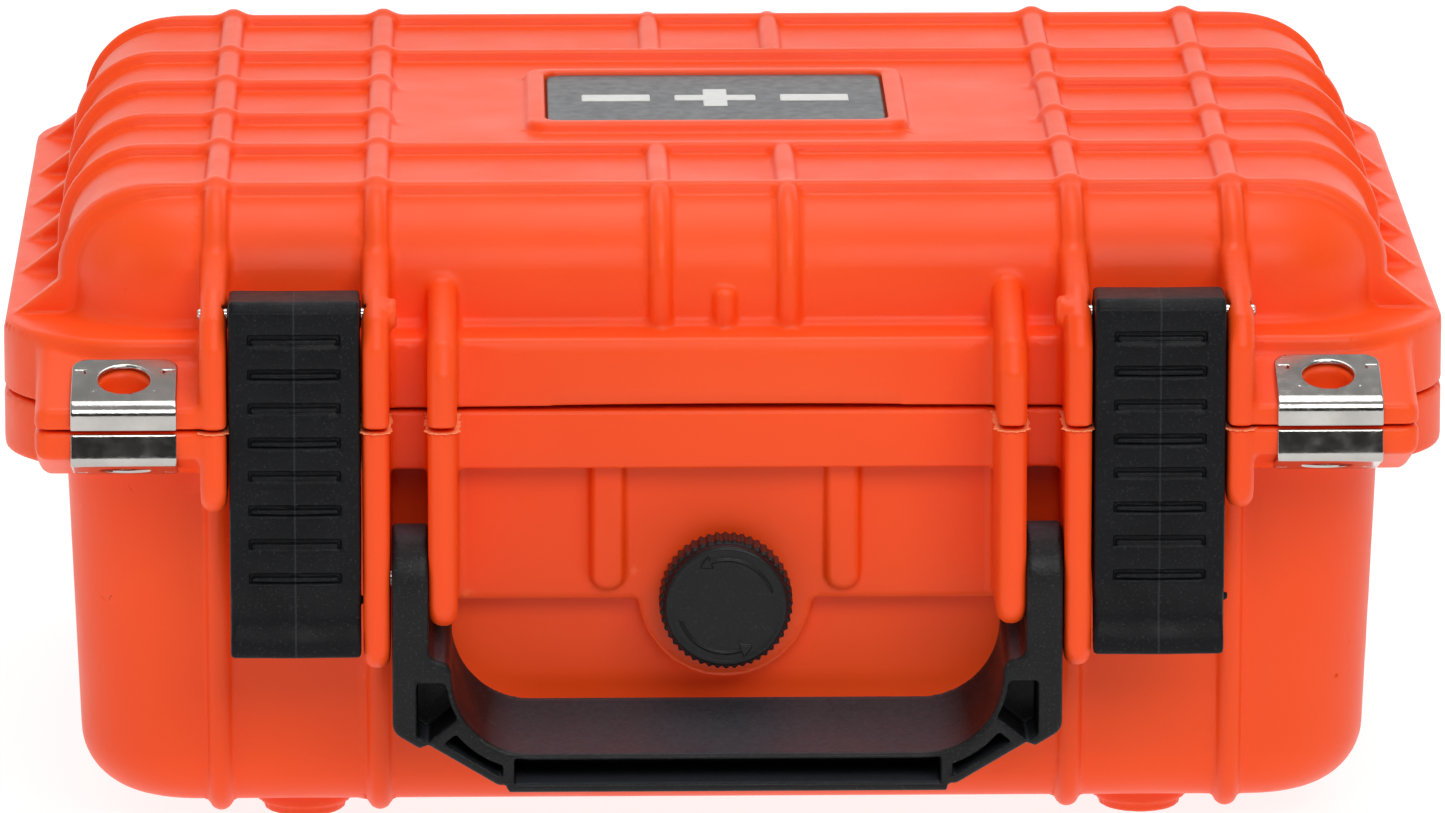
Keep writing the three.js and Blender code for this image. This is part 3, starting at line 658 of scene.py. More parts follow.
def base_bracket(bracket, side):
    front = FRONT + BASE_BRACKET_ROUND
    low = bracket["low"] + BASE_BRACKET_ROUND
    points = rectangle(BRACKET_ROOT, front, SEAM + BRACKET_OVERLAP, low)
    edge = bracket["half"] - BRACKET_FLAT
    return along_x(points, side * bracket["x"], bracket["half"], edge, BASE_BRACKET_ROUND)


def knuckle(side, x0, x1, z0, z1):
    """Half of a hinge: an arm from the flange and the eye that the pin goes through."""
    centre = side * (x0 + x1) / 2
    half = (x1 - x0) / 2
    arm = rectangle(FLANGE_BACK - WALL, HINGE.y, z0, z1)
    eye = rod(0, BACK - HINGE.y, centre - half, centre + half, (HINGE.y, HINGE.z), HINGE_EDGE)
    return along_x(arm, centre, half, HINGE_EDGE), eye


def boss(side, points):
    """A padlock boss at a front corner, by its outline in Y and Z."""
    centre = side * (BOSS_LOW_X + BOSS_HIGH_X) / 2
    return along_x(points, centre, (BOSS_HIGH_X - BOSS_LOW_X) / 2, BOSS_EDGE, BOSS_ROUND)


def base_boss(side):
    front, top = BOSS_FRONT + BOSS_ROUND, BASE_TOP + BOSS_OVERLAP
    nose = BASE_TOP - BASE_NOSE
    return boss(side, [(front, top), (front, nose), (BOSS_BACK, FLANGE_LOW - 1), (BOSS_BACK, top)])


def lid_boss(side):
    front, low = BOSS_FRONT + BOSS_ROUND, LID_BOTTOM - BOSS_OVERLAP
    nose = LID_BOTTOM + LID_NOSE
    rear = nose + SLOPE * (BOSS_BACK - BOSS_FRONT)
    return boss(side, [(front, low), (front, nose), (BOSS_BACK, rear), (BOSS_BACK, low)])


def lock_hole(side):
    return rod(2, LOCK_RADIUS, *LOCK_HOLE_Z, (side * LOCK_X, LOCK_HOLE_Y))


def hinge_bore():
    return rod(0, HINGE_BORE, -HINGE_SPAN, HINGE_SPAN, (HINGE.y, HINGE.z))


def add_platform(clay):
    """The raised panel behind the handle, with the valve's round seat."""
    panel = rectangle(-PLATFORM_HALF, PLATFORM_HALF, PLATFORM_LOW, PLATFORM_HIGH)
    clay.join(along_y(panel, PLATFORM_FRONT, PLATFORM_BACK, PLATFORM_EDGE, 1.0), PLATFORM_FILLET)
    seat = rod(1, VALVE_SEAT, PLATFORM_FRONT, PLATFORM_BACK, (0, VALVE.z), PLATFORM_EDGE)
    clay.join(seat, PLATFORM_FILLET)


def add_base_ribs(clay, tub, side):
    middle = side * STUB_X
    stub = rectangle(middle - STUB_HALF, middle + STUB_HALF, STUB_LOW, STUB_HIGH)
    clay.join(along_y(stub, STUB_FRONT, PLATFORM_BACK, STUB_EDGE, STUB_ROUND), 0.4)
    for x in LONG_RIBS:
        clay.join(bead(tub, 0, side * x), BEAD_FILLET)
    for bracket in BRACKETS:
        clay.join(base_bracket(bracket, side), 1.2)
    clay.join(base_boss(side), 1.5)


def add_feet_and_hinge(clay, side):
    for y in FOOT_ROWS:
        for radius, bottom, edge, fillet in FOOT_STEPS:
            clay.join(rod(2, radius, bottom, FOOT_TOP, (side * FOOT_X, y), edge), fillet)
    for x0, x1 in BASE_EYES:
        for shape in knuckle(side, x0, x1, HINGE.z - HINGE_ARM, BASE_TOP):
            clay.join(shape, 0.8)


def shape_base():
    clay = Clay(BASE_LOW, BASE_HIGH, SHELL_STEP)
    clay.join(flange_block(FLANGE_LOW, SEAM + 30))
    clay.cut(flange_block(FLANGE_LOW - 30, BASE_TOP - WALL, WALL, 1.0), 1.0)
    tub = tub_block()
    clay.join(tub, 2.0)
    add_platform(clay)
    for side in (-1, 1):
        add_base_ribs(clay, tub, side)
    clay.keep(2, 1, BASE_TOP, RIM_EDGE)
    for side in (-1, 1):
        add_feet_and_hinge(clay, side)
    clay.cut(tub_block(WALL, TUB_LOW + WALL, INNER_CORNER, INNER_EDGE), 0.8)
    clay.join(seal_ring(2.4, BASE_TOP - 1, BASE_TOP + 1.9, 0.6), 0.3)
    for side in (-1, 1):
        clay.cut(lock_hole(side), 0.6)
        middle = side * HANDLE_BORE_X
        ends = middle - HANDLE_BORE_HALF, middle + HANDLE_BORE_HALF
        clay.cut(rod(0, HANDLE_BORE, *ends, (HANDLE_PIN.y, HANDLE_PIN.z)), 0.2)
    clay.cut(hinge_bore(), 0.2)
    clay.cut(rod(1, VALVE_BORE, -110, -85, (0, VALVE.z)), 0.3)
    return clay


def build_base():
    skin = shape_base().mesh("base_skin", ORANGE, SHELL_MERGE)
    place(skin, "base", "orange_shell", "base_shell")


# The lid shell.


def lid_bracket(bracket, side):
    shoulder, high = bracket["shoulder"], bracket["high"]
    front, low = FRONT + LID_BRACKET_ROUND, LID_BOTTOM - 10
    points = [(BRACKET_ROOT, low), (BRACKET_ROOT, high - 1), (DOME_FRONT + 1, high - 1.5),
              (FRONT + 12, high - 5.5), (FRONT + 4.5, shoulder + 3.5), (front, shoulder - 1), (front, low)]
    edge = bracket["half"] - BRACKET_FLAT
    return along_x(points, side * bracket["x"], bracket["half"], edge, LID_BRACKET_ROUND)


def gusset(side, y):
    wall = side * (DOME_X - 3)
    points = [(wall, FLANGE_HIGH - 2), (side * (HALF_WIDTH - 1.5), FLANGE_HIGH - 2),
              (side * (HALF_WIDTH - 1.5), FLANGE_HIGH - 0.6), (wall, FLANGE_HIGH + 8.5)]
    return along_y(points, y - 2.3, y + 2.3, 0.4, 0.2)


def pin_boss(side):
    """The blind end of the latch pin's bore, on the inner face of a bracket rib."""
    ends = sorted((side * 60.9, side * 63.5))
    return rod(0, 2.9, *ends, (LEVER_PIN.y, LEVER_PIN.z), 1.0)


def label_frame_shapes():
    low, high = box_mm("lid_label")
    bar, room = LABEL_BAR, LABEL_ROOM
    outer = block((low.x - bar, low.y - bar, DOME_TOP - 4), (high.x + bar, high.y + bar, TOP), 4.5, 1.4)
    inner = block((low.x - room, low.y - room, DOME_TOP), (high.x + room, high.y + room, TOP + 8), 3, 0.2)
    return outer, inner


def seam_bow():
    """What the lid's lower edge at the front is bowed up by, most at the middle."""
    depth = FLANGE_FRONT + WALL + 2

    def distance(x, y, z):
        rise = SEAM_BOW * np.clip(1 - (x / LONG_RIBS[0]) ** 2, 0, 1)
        return np.maximum(z - LID_BOTTOM - rise, y - depth)

    return distance, (-LONG_RIBS[0], FRONT, LID_BOTTOM - 1), (LONG_RIBS[0], depth, LID_BOTTOM + SEAM_BOW)


def clipped(shape, axis, sign, level):
    """The part of a shape past a level: sign * coordinate above level."""
    surface, low, high = shape

    def distance(*place):
        return rounded_and(surface(*place), level - sign * place[axis], 1.2)

    return distance, low, high


def add_cross_rib(clay, dome, y, parted):
    """A rib from side to side. Where the label parts it, it starts at the long ribs."""
    if parted:
        for end in (-1, 1):
            reach = sorted((end * LONG_RIBS[0], end * DOME_X * 1.03))
            rib = ridge(dome, y, (reach[0], y, LID_BOTTOM), (reach[1], y, TOP))
            clay.join(clipped(rib, 0, end, LONG_RIBS[0]), RIDGE_FILLET)
    else:
        clay.join(ridge(dome, y), RIDGE_FILLET)
    for end in (-1, 1):
        clay.join(gusset(end, y), 0.4)


def add_lid_ribs(clay, dome, side):
    for x in LONG_RIBS:
        clay.join(bead(dome, 0, side * x, sink=LONG_RIB_SINK), BEAD_FILLET)
    for distance in CROSS_RIBS:
        add_cross_rib(clay, dome, MIDDLE_Y + side * distance, distance == CROSS_RIBS[0])
    for end in (-1, 1):
        short = bead(dome, 0, side * SHORT_RIB)
        clay.join(clipped(short, 1, end, end * MIDDLE_Y + CROSS_RIBS[1]), BEAD_FILLET)
    for bracket in BRACKETS:
        clay.join(lid_bracket(bracket, side), 1.5)
    clay.join(lid_boss(side), 1.5)
    clay.join(pin_boss(side), 0.4)


def add_crossings(clay, side):
    """The small domes where a long rib crosses a cross rib."""
    for x in LONG_RIBS:
        for distance in CROSS_RIBS:
            for end in (-1, 1):
                crossing = (side * x, MIDDLE_Y + end * distance, DOME_TOP + KNUCKLE_LIFT)
                clay.join(ball(crossing, KNUCKLE_RADIUS), KNUCKLE_FILLET)


def cut_lid_holes(clay):
    for side in (-1, 1):
        clay.cut(lock_hole(side), 0.6)
        middle = side * LATCH_X
        ends = middle - LATCH_BORE_ENDS[0], middle + LATCH_BORE_ENDS[1]
        clay.cut(rod(0, LATCH_BORE, *ends, (LEVER_PIN.y, LEVER_PIN.z)), 0.2)
    clay.cut(hinge_bore(), 0.2)


def shape_lid():
    clay = Clay(LID_LOW, LID_HIGH, SHELL_STEP)
    clay.join(flange_block(SEAM - 30, FLANGE_HIGH, 0.0, 1.6))
    dome = dome_block()
    clay.join(dome, 3.0)
    for side in (-1, 1):
        add_lid_ribs(clay, dome, side)
    for side in (-1, 1):
        add_crossings(clay, side)
    middle = clipped(bead(dome, 0, 0), 1, -1, MIDDLE_RIB_Y)
    clay.join(clipped(middle, 2, -1, -MIDDLE_RIB_TOP), BEAD_FILLET)
    frame_bar, window = label_frame_shapes()
    clay.join(frame_bar, 1.0)
    clay.cut(window, 0.2)
    clay.keep(2, -1, LID_BOTTOM, RIM_EDGE)
    clay.cut(seam_bow(), 0.2)
    for side in (-1, 1):
        for shape in knuckle(side, *LID_EYE, LID_BOTTOM, HINGE.z + HINGE_ARM):
            clay.join(shape, 0.8)
    clay.cut(dome_block(WALL, DOME_TOP - WALL, INNER_CORNER, INNER_EDGE), 0.8)
    clay.cut(seal_ring(5.0, LID_BOTTOM - 5, LID_BOTTOM + 4.5, 0.3), 0.4)
    cut_lid_holes(clay)
    return clay


def build_lid():
    skin = shape_lid().mesh("lid_skin", ORANGE, SHELL_MERGE)
    place(skin, "lid", "orange_shell", "lid_shell")


# The latches. Their shapes are drawn about the pin that each lever turns on.

LEVER_STEP = 0.33
LEVER_HALF = 12.1
LEVER_TOP, LEVER_BOTTOM = 3.7, -63.7
LEVER_FRONT, LEVER_BACK = -8.5, 7.2
LEVER_TENT = 0.035
CHEEK = 2.3
PLATE = 4.5
SLOT_COUNT = 8
SLOT_PITCH = 6.44
SLOT_HALF = 8.55
SLOT_DEPTH = 1.0
GRIP_LOW, GRIP_HIGH = LEVER_BOTTOM + 3.6, LEVER_BOTTOM + 12.5
CHANNEL_END = 7
LEVER_EYE, LEVER_BORE, CLAW_PIN_BORE = 2.6, 1.3, 1.45
NUB_RADIUS, NUB_REACH = 0.75, 0.8
NUB_AT = (LEVER_FRONT + 4.5, LEVER_BOTTOM + 10.3)
CLAW_HALF, CLAW_EYE, CLAW_BORE = 9.2, 3, 1.5
CLAW_ARM = [(-0.8, -2), (3.4, -6), (3.4, -19.7), (8.2, -19.7), (8.8, -19), (8.8, -17.9), (4.9, -17.5),
            (4.9, -3), (0.8, 2)]
CLAW_ANGLE = math.radians(-14)
LATCH_PIN_PROUD = 0.4


def lever_outline():
    """The lever from the side, in Y and Z, drawn small for its corners to be rounded outwards."""
    return [(LEVER_FRONT + 1, LEVER_TOP - 2.2), (LEVER_FRONT + 2.2, LEVER_TOP - 1),
            (LEVER_BACK - 4, LEVER_TOP - 1), (LEVER_BACK - 1, LEVER_TOP - 4),
            (LEVER_BACK - 1, LEVER_BOTTOM + 20), (LEVER_FRONT + 5, LEVER_BOTTOM + 9),
            (LEVER_FRONT + 3.5, LEVER_BOTTOM + 2), (LEVER_FRONT + 2, LEVER_BOTTOM + 1),
            (LEVER_FRONT + 1, LEVER_BOTTOM + 1)]


def tented(shape, slope):
    """The same shape with its front face raised in the middle, as the two halves of a mould leave it."""
    surface, low, high = shape
    return lambda x, y, z: surface(x, y - slope * np.abs(x), z), low, high


def shape_lever():
    low = (-LEVER_HALF - 0.8, LEVER_FRONT - 0.3, LEVER_BOTTOM)
    clay = Clay(low, (LEVER_HALF + 0.8, LEVER_BACK, LEVER_TOP), LEVER_STEP)
    clay.join(tented(along_x(lever_outline(), 0, LEVER_HALF, 0.8, 1.0), LEVER_TENT))
    clay.cut(rod(0, 7.2, -20, 20, (LEVER_FRONT - 5.5, (GRIP_LOW + GRIP_HIGH) / 2)), 1.2)
    channel = rectangle(LEVER_FRONT + PLATE + 0.8, LEVER_BACK + 5, -CHANNEL_END, LEVER_BOTTOM + CHANNEL_END)
    clay.cut(along_x(channel, 0, LEVER_HALF - CHEEK, 0.6, 0.8), 0.5)
    for i in range(SLOT_COUNT):
        middle = -3.2 - i * SLOT_PITCH
        slot = block((-SLOT_HALF, LEVER_FRONT - 3, middle - 1.0),
                     (SLOT_HALF, LEVER_FRONT + SLOT_DEPTH, middle + 1.0), 0.4, 0.2)
        clay.cut(tented(slot, LEVER_TENT), 0.15)
        lip = rod(0, 0.5, -SLOT_HALF + 0.5, SLOT_HALF - 0.5, (LEVER_FRONT + 0.6, middle - 0.3), 0.3)
        clay.join(tented(lip, LEVER_TENT), 0.15)
    clay.join(rod(0, LEVER_EYE, -LEVER_HALF - 0.3, LEVER_HALF + 0.3, (0, 0), 0.2), 0.3)
    through = -LEVER_HALF - 2, LEVER_HALF + 2
    clay.cut(rod(0, LEVER_BORE, *through, (0, 0)), 0.2)
    clay.cut(rod(0, CLAW_PIN_BORE, *through, tuple((CLAW_PIN - LEVER_PIN).yz)), 0.2)
    clay.join(rod(0, NUB_RADIUS, LEVER_HALF - 1, LEVER_HALF + NUB_REACH, NUB_AT, 0.3), 0.2)
    return clay


def shape_claw():
    """Drawn about its own pin, with its nose pointing back."""
    clay = Clay((-CLAW_HALF, -3, -20.4), (CLAW_HALF, 9.5, 3), LEVER_STEP)
    clay.join(along_x(CLAW_ARM, 0, CLAW_HALF, 0.6, 0.6))
    clay.join(rod(0, CLAW_EYE, -CLAW_HALF, CLAW_HALF, (0, 0), 0.6), 0.5)
    clay.cut(rod(0, CLAW_BORE, -10, 10, (0, 0)), 0.2)
    return clay


def place_copy(skin, kind, name, body, pivot, turn):
    """A copy of a skin that was drawn about its pivot, put at the pivot and turned about X."""
    thing = bpy.data.objects.new(f"{kind}_skin_{name}", skin.data.copy())
    bpy.context.scene.collection.objects.link(thing)
    thing.matrix_world = Matrix.Translation(Vector(pivot) * MM) @ Matrix.Rotation(turn, 4, "X")
    bpy.context.view_layer.update()
    place(thing, body, "black_plastic", f"{kind}_{name}")


def build_latches():
    lever = shape_lever().mesh("lever_pattern", LEVER_BLACK, 0.01)
    claw = shape_claw().mesh("claw_pattern", LEVER_BLACK, 0.01)
    for name, _ in SIDES:
        x = pivot_mm(f"latch_{name}_lever").x
        place_copy(lever, "latch_lever", name, f"latch_{name}", (x, LEVER_PIN.y, LEVER_PIN.z), 0)
        place_copy(claw, "latch_claw", name, f"claw_{name}", (x, CLAW_PIN.y, CLAW_PIN.z), CLAW_ANGLE)
        place_pin(f"latch_pin_{name}", "lid", LATCH_PIN_PROUD)
        place_pin(f"claw_pin_{name}", f"latch_{name}")
    for skin in (lever, claw):
        bpy.data.objects.remove(skin)


# The carry handle, drawn about the axis of its pins.

HANDLE_STEP = 0.4
HANDLE_HALF = 10
GAP_LOW = -25.4
RIM_DROP = 6.2
POCKET_BACK = 4.8
CORNER_POCKET_BACK = 2.5
POCKET_TOP = -18
POCKET_X = 57.7
WEB_X = 40.7
WEB_HALF = 1.1
# The slanted web, by a point on it and the direction across it towards the grip.
SLANT_WEB = (54.9, -28.6)
SLANT_ACROSS = (-0.623, -0.783)
WALL_STEP = 1.4
STEP_RAMP = 0.5
SCOOP = 1.75
BOTTOM_WALL = 1.8
GRIP_LIP = 1.1
SLANTED_LIP = 1.9


def mirrored(points):
    return points + [(-x, z) for x, z in reversed(points)]


HANDLE_OUTSIDE = outline(mirrored([(59.2, 40), (59.2, -25.8), (42.2, -36)]), 3.0)
GRIP_ROUND = 14.7
GRIP_GAP = outline(mirrored([(36.5, 60), (36.5, GAP_LOW + GRIP_ROUND)]), GRIP_ROUND)
ARM_GAP = outline(mirrored([(53.4, 60), (53.4, -5.5)]), 2.0)
HANDLE_SIDE = outline(rectangle(-0.01, 0.01, 0, -80), HANDLE_HALF)
HANDLE_LOW = (-62.9, -10, -39.5)
HANDLE_HIGH = (62.9, 10, 10)


def gap_outline(x, z):
    return soft_min(GRIP_GAP(x, z), ARM_GAP(x, z), 3.0)


def finger_gap(x, y, z):
    """The gap for the hand. The grip's upper face falls away to a rim at the front."""
    forward = np.clip((HANDLE_HALF - y) / (2 * HANDLE_HALF), 0, 1)
    forward = forward * (SCOOP - (SCOOP - 1) * forward)
    return gap_outline(x, z + RIM_DROP * forward)


def past_slant_web(x, z):
    return SLANT_ACROSS[0] * (np.abs(x) - SLANT_WEB[0]) + SLANT_ACROSS[1] * (z - SLANT_WEB[1])


def slanted_part(x, z):
    """1 between the slanted web and the upright one, 0 elsewhere."""
    past_corner = np.clip(past_slant_web(x, z) / STEP_RAMP, 0, 1)
    return past_corner * np.clip((np.abs(x) - WEB_X) / STEP_RAMP, 0, 1)


def handle_outside(x, z):
    """The outline of the bow. The slanted walls stand back a little from their neighbours."""
    slanted = slanted_part(x, z)
    return HANDLE_OUTSIDE(x, z) + WALL_STEP * slanted * (z < POCKET_TOP)


def handle_bow(x, y, z):
    bow = rounded_and(handle_outside(x, z), -finger_gap(x, y, z), 1.0)
    return rounded_and(bow, HANDLE_SIDE(y, z), 0.8)


def handle_hollow(x, y, z):
    """The hollow between the walls of the bow, open to the front, with two webs on each side."""
    lip = GRIP_LIP + SLANTED_LIP * slanted_part(x, z)
    hollow = rounded_and(handle_outside(x, z) + BOTTOM_WALL, lip - gap_outline(x, z + RIM_DROP), 0.6)
    hollow = rounded_and(hollow, z - POCKET_TOP, 1.0)
    past = past_slant_web(x, z)
    corner = np.maximum(np.maximum(past, np.abs(x) - POCKET_X), y - CORNER_POCKET_BACK)
    channel = np.maximum(2 * WEB_HALF - past, y - POCKET_BACK)
    web = WEB_HALF - np.abs(np.abs(x) - WEB_X)
    return np.maximum(hollow, np.minimum(corner, np.maximum(channel, web)))


def shape_handle():
    clay = Clay(HANDLE_LOW, HANDLE_HIGH, HANDLE_STEP)
    clay.join((handle_bow, HANDLE_LOW, HANDLE_HIGH))
    clay.cut((handle_hollow, HANDLE_LOW, HANDLE_HIGH), 0.4)
    clay.cut(rod(0, HANDLE_BORE, -70, 70, (0, 0)), 0.3)
    return clay


def build_handle():
    skin = shape_handle().mesh("handle_skin", HANDLE_BLACK, 0.01)
    skin.location = HANDLE_PIN * MM
    bpy.context.view_layer.update()
    place(skin, "handle", "black_plastic", "handle")
    for name, _ in SIDES:
        place_pin(f"handle_pin_{name}", "base")


# The pressure valve.

KNOB_RADIUS = 12.5
KNOB_FACE = 11.6
KNOB_MIDDLE, KNOB_HALF = 0.2, 3.4
SCALLOPS, SCALLOP_DEPTH = 48, 0.25
ARROW_RADIUS, ARROW_HALF = 8.9, 0.22
ARROW_Y = -5
ARROW_STARTS, ARROW_SWEEP = (0.3, 0.3 + math.pi), 1.6
THREAD_RADIUS, THREAD_DEPTH, THREAD_STEP = 5.6, 0.35, 0.5
NUT_RADIUS, NUT_BORE, RING_BORE = 8.6, 5.85, 5.9


def knob_rim(x, y, z):
    """The milled edge of the knob."""
    scallop = SCALLOP_DEPTH * (1 - np.cos(SCALLOPS * np.arctan2(z, x)))
    side = np.hypot(x, z) - KNOB_RADIUS + scallop
    return rounded_and(side, np.abs(y - KNOB_MIDDLE) - KNOB_HALF, 0.5)


def turn_arrow(start, end):
    """A raised arc with an arrowhead, which shows which way the knob turns."""
    middle, half = (start + end) / 2, (end - start) / 2

    def distance(x, y, z):
        angle = np.angle((x + 1j * z) * np.exp(-1j * middle))
        arc = np.hypot(np.hypot(x, z) - ARROW_RADIUS, y - ARROW_Y) - ARROW_HALF
        arc = np.maximum(arc, (np.abs(angle) - half) * ARROW_RADIUS)
        across = np.abs(np.hypot(x, z) - ARROW_RADIUS)
        along = (angle - half) * ARROW_RADIUS
        head = np.maximum(across + 0.6 * along - 1.3, -along)
        return np.minimum(arc, np.maximum(head, np.abs(y - ARROW_Y) - ARROW_HALF))

    return distance, (-11, -5.4, -11), (11, -4.6, 11)


def shape_knob():
    low, high = box_mm("valve_knob")
    clay = Clay(tuple(low - VALVE), tuple(high - VALVE), 0.2)
    size = ((-KNOB_RADIUS, -3.2, -KNOB_RADIUS), (KNOB_RADIUS, 3.6, KNOB_RADIUS))
    clay.join((knob_rim, *size))
    clay.join(rod(1, KNOB_FACE, -5, 3, (0, 0), 0.9), 0.2)
    clay.cut(rod(1, 10.4, -6, -4.85, (0, 0), 0.1), 0.2)
    for start in ARROW_STARTS:
        clay.join(turn_arrow(start, start + ARROW_SWEEP), 0.1)
    clay.cut(rod(1, 4.3, -0.8, 6, (0, 0)), 0.2)
    return clay


def hexagon(radius):
    return [(radius * math.cos(math.pi * i / 3), radius * math.sin(math.pi * i / 3)) for i in range(6)]


def build_knob():
    knob = shape_knob().mesh("valve_knob_skin", BLACK, 0.01)
    knob.location = VALVE * MM
    bpy.context.view_layer.update()
    place(knob, "valve_knob", "black_plastic", "valve_knob")


def build_valve_body():
    """The threaded body, turned from its flange inwards."""
    low, high = box_mm("valve_body")
    inside = high.y - low.y
    profile = [(0, 0), (3.6, 0), (4, 0.4), (4, 4.5), (8.6, 4.5), (9, 4.9), (9, 6.5), (THREAD_RADIUS, 6.5)]
    for i in range(int((inside - 10) / THREAD_STEP)):
        profile.append((THREAD_RADIUS - THREAD_DEPTH * (i % 2), 9 + THREAD_STEP * i))
    profile += [(5.2, inside), (0, inside)]
    body = lathe("valve_body_turned", profile, (0, low.y, VALVE.z), (0, 1, 0), BLACK)
    place(body, "base", "black_plastic", "valve_body")


def build_valve_nut():
    low, high = box_mm("valve_nut")
    clay = Clay(low, high, 0.3)
    points = [(x, z + VALVE.z) for x, z in hexagon(NUT_RADIUS)]
    clay.join(along_y(points, low.y, high.y, 0.5, 0.8))
    clay.cut(rod(1, NUT_BORE, low.y - 1, high.y + 1, (0, VALVE.z)), 0.2)
    place(clay.mesh("valve_nut_skin", BLACK, 0.01), "base", "black_plastic", "valve_nut")


def build_valve_seal():
    low, high = box_mm("valve_seal_ring")
    clay = Clay(low, high, 0.25)
    clay.join(rod(1, (high.z - low.z) / 2, low.y, high.y, (0, VALVE.z), 0.45))
    clay.cut(rod(1, RING_BORE, low.y - 1, high.y + 1, (0, VALVE.z)), 0.3)
    place(clay.mesh("valve_seal_skin", RUBBER, 0.01), "base", "black_rubber", "valve_seal_ring")


# The padlock plates, each a strip of steel bent once.

PLATE_STEP = 0.16
PLATE_THICKNESS = 0.8
PLATE_HALF = 9.8
PLATE_REACH = 16.4
BASE_BEND, LID_BEND = 1.8, 3.0
PLATE_LEAN = 0.2
PLATE_CORNER, PLATE_EDGE = 3, 0.25
PLATE_TUCK = 4
PLATE_HOLE, PLATE_HOLE_Z = 4.75, (60, 110)
SHEET_FAR = 30
TANG_Y = FRONT + (PLATE_REACH - 4.0)
TANG_IN, TANG_LENGTH, TANG_HALF = 1.6, 0.9, 0.15
DIMPLE_X, DIMPLE_Y, DIMPLE_RADIUS = 5.6, 5, 0.45


def plate_sheet(bend_z, bend_radius, direction):
    """The bent sheet in Y and Z: the skin of a wedge whose front edge is rounded. The plate on the
    base leans back from its bend."""
    far = SHEET_FAR
    corner = math.hypot(1, SLOPE) - SLOPE
    front = FRONT + bend_radius
    z = bend_z - direction * bend_radius * corner
    low_z = z - direction * far
    lean = PLATE_LEAN * far if direction < 0 else 0
    wedge = outline([(front + lean, low_z), (front, z), (front + far, z + direction * SLOPE * far),
                     (front + 2 * far, z), (front + 2 * far, low_z)], bend_radius)

    def distance(y, z):
        return np.abs(wedge(y, z) + PLATE_THICKNESS / 2) - PLATE_THICKNESS / 2

    return distance


def plate_plan(x0):
    """The plate from above: a strip with rounded corners."""
    middle_y = FRONT + PLATE_REACH / 2 - PLATE_TUCK

    def distance(x, y):
        across = np.abs(x - x0) - PLATE_HALF + PLATE_CORNER
        along = np.abs(y - middle_y) - PLATE_REACH / 2 - PLATE_TUCK + PLATE_CORNER
        outside = np.hypot(np.maximum(across, 0), np.maximum(along, 0))
        return outside + np.minimum(np.maximum(across, along), 0) - PLATE_CORNER

    return distance


def tang_cuts(x0, end):
    """The two fine lines of an L at a rear corner of a plate."""
    x = x0 + end * (PLATE_HALF - TANG_IN)
    down_x = x - end * TANG_LENGTH
    low, high = PLATE_HOLE_Z
    return (((x - TANG_LENGTH, TANG_Y - TANG_HALF, low), (x + TANG_LENGTH, TANG_Y + TANG_HALF, high)),
            ((down_x - TANG_HALF, TANG_Y - TANG_LENGTH, low), (down_x + TANG_HALF, TANG_Y, high)))


def shape_plate(node_name, side, bend_z, end_z, direction):
    low, high = box_mm(node_name)
    clay = Clay(low, high, PLATE_STEP)
    sheet = plate_sheet(bend_z, BASE_BEND if direction < 0 else LID_BEND, direction)
    x0 = side * LOCK_X
    plan = plate_plan(x0)

    def strip(x, y, z):
        shape = rounded_and(sheet(y, z), plan(x, y), PLATE_EDGE)
        return rounded_and(shape, direction * (end_z - z), PLATE_EDGE)

    clay.join((strip, low, high))
    clay.cut(rod(2, PLATE_HOLE, *PLATE_HOLE_Z, (x0, LOCK_HOLE_Y)), 0.35)
    for end in (-1, 1):
        for cut_low, cut_high in tang_cuts(x0, end):
            clay.cut(block(cut_low, cut_high, 0.1, 0.1), 0.15)
        dimple_z = bend_z + direction * (SLOPE * DIMPLE_Y + DIMPLE_RADIUS)
        dimple = (x0 + end * DIMPLE_X, FRONT + DIMPLE_Y, dimple_z)
        clay.cut(ball(dimple, DIMPLE_RADIUS), 0.15)
    return clay


def build_plates():
    halves = (("lid", LID_BOTTOM + 4.85, LID_BOTTOM + 0.15, 1),
              ("base", BASE_TOP - 6.05, BASE_TOP - 0.15, -1))
    for name, side in SIDES:
        for half, bend_z, end_z, direction in halves:
            node_name = f"{half}_lock_plate_{name}"
            clay = shape_plate(node_name, side, bend_z, end_z, direction)
            place(clay.mesh(f"{node_name}_bent", STEEL, 0.005), half, "bright_steel", node_name)


# The hinge pins, the label, the gasket and the foam.

MARK_SINK, MARK_PROUD = 0.3, 0.2
PLUS_SIZES, PLUS_Y = (2.4, 8.0), 1.5
BAR_ENDS, BAR_LOW, BAR_HIGH = (12.5, 26), -1.5, 4.5


def build_hinge_pins():
    for name, _ in SIDES:
        place_pin(f"hinge_pin_{name}", "base")


def build_label():
    low, high = box_mm("lid_label")
    clay = Clay(low, high, 0.35)
    clay.join(block(low, high, 2.7, 0.35))
    place(clay.mesh("label_plate", LABEL, 0.01), "lid", "label_plastic", "lid_label")
    place_mark(high.z)


def place_mark(face):
    """A plus between two bars, standing a little proud of the label's face."""
    bottom, top = face - MARK_SINK, face + MARK_PROUD
    mark = Clay((-27, -7, bottom), (27, 10, face + 0.25), 0.25)
    for size_x, size_y in (PLUS_SIZES, PLUS_SIZES[::-1]):
        mark.join(block((-size_x, PLUS_Y - size_y, bottom), (size_x, PLUS_Y + size_y, top), 0.4, 0.1))
    for side in (-1, 1):
        ends = sorted(side * x for x in BAR_ENDS)
        mark.join(block((ends[0], BAR_LOW, bottom), (ends[1], BAR_HIGH, top), 0.4, 0.1))
    place(mark.mesh("label_mark", PRINT, 0.01), "lid", "label_plastic")


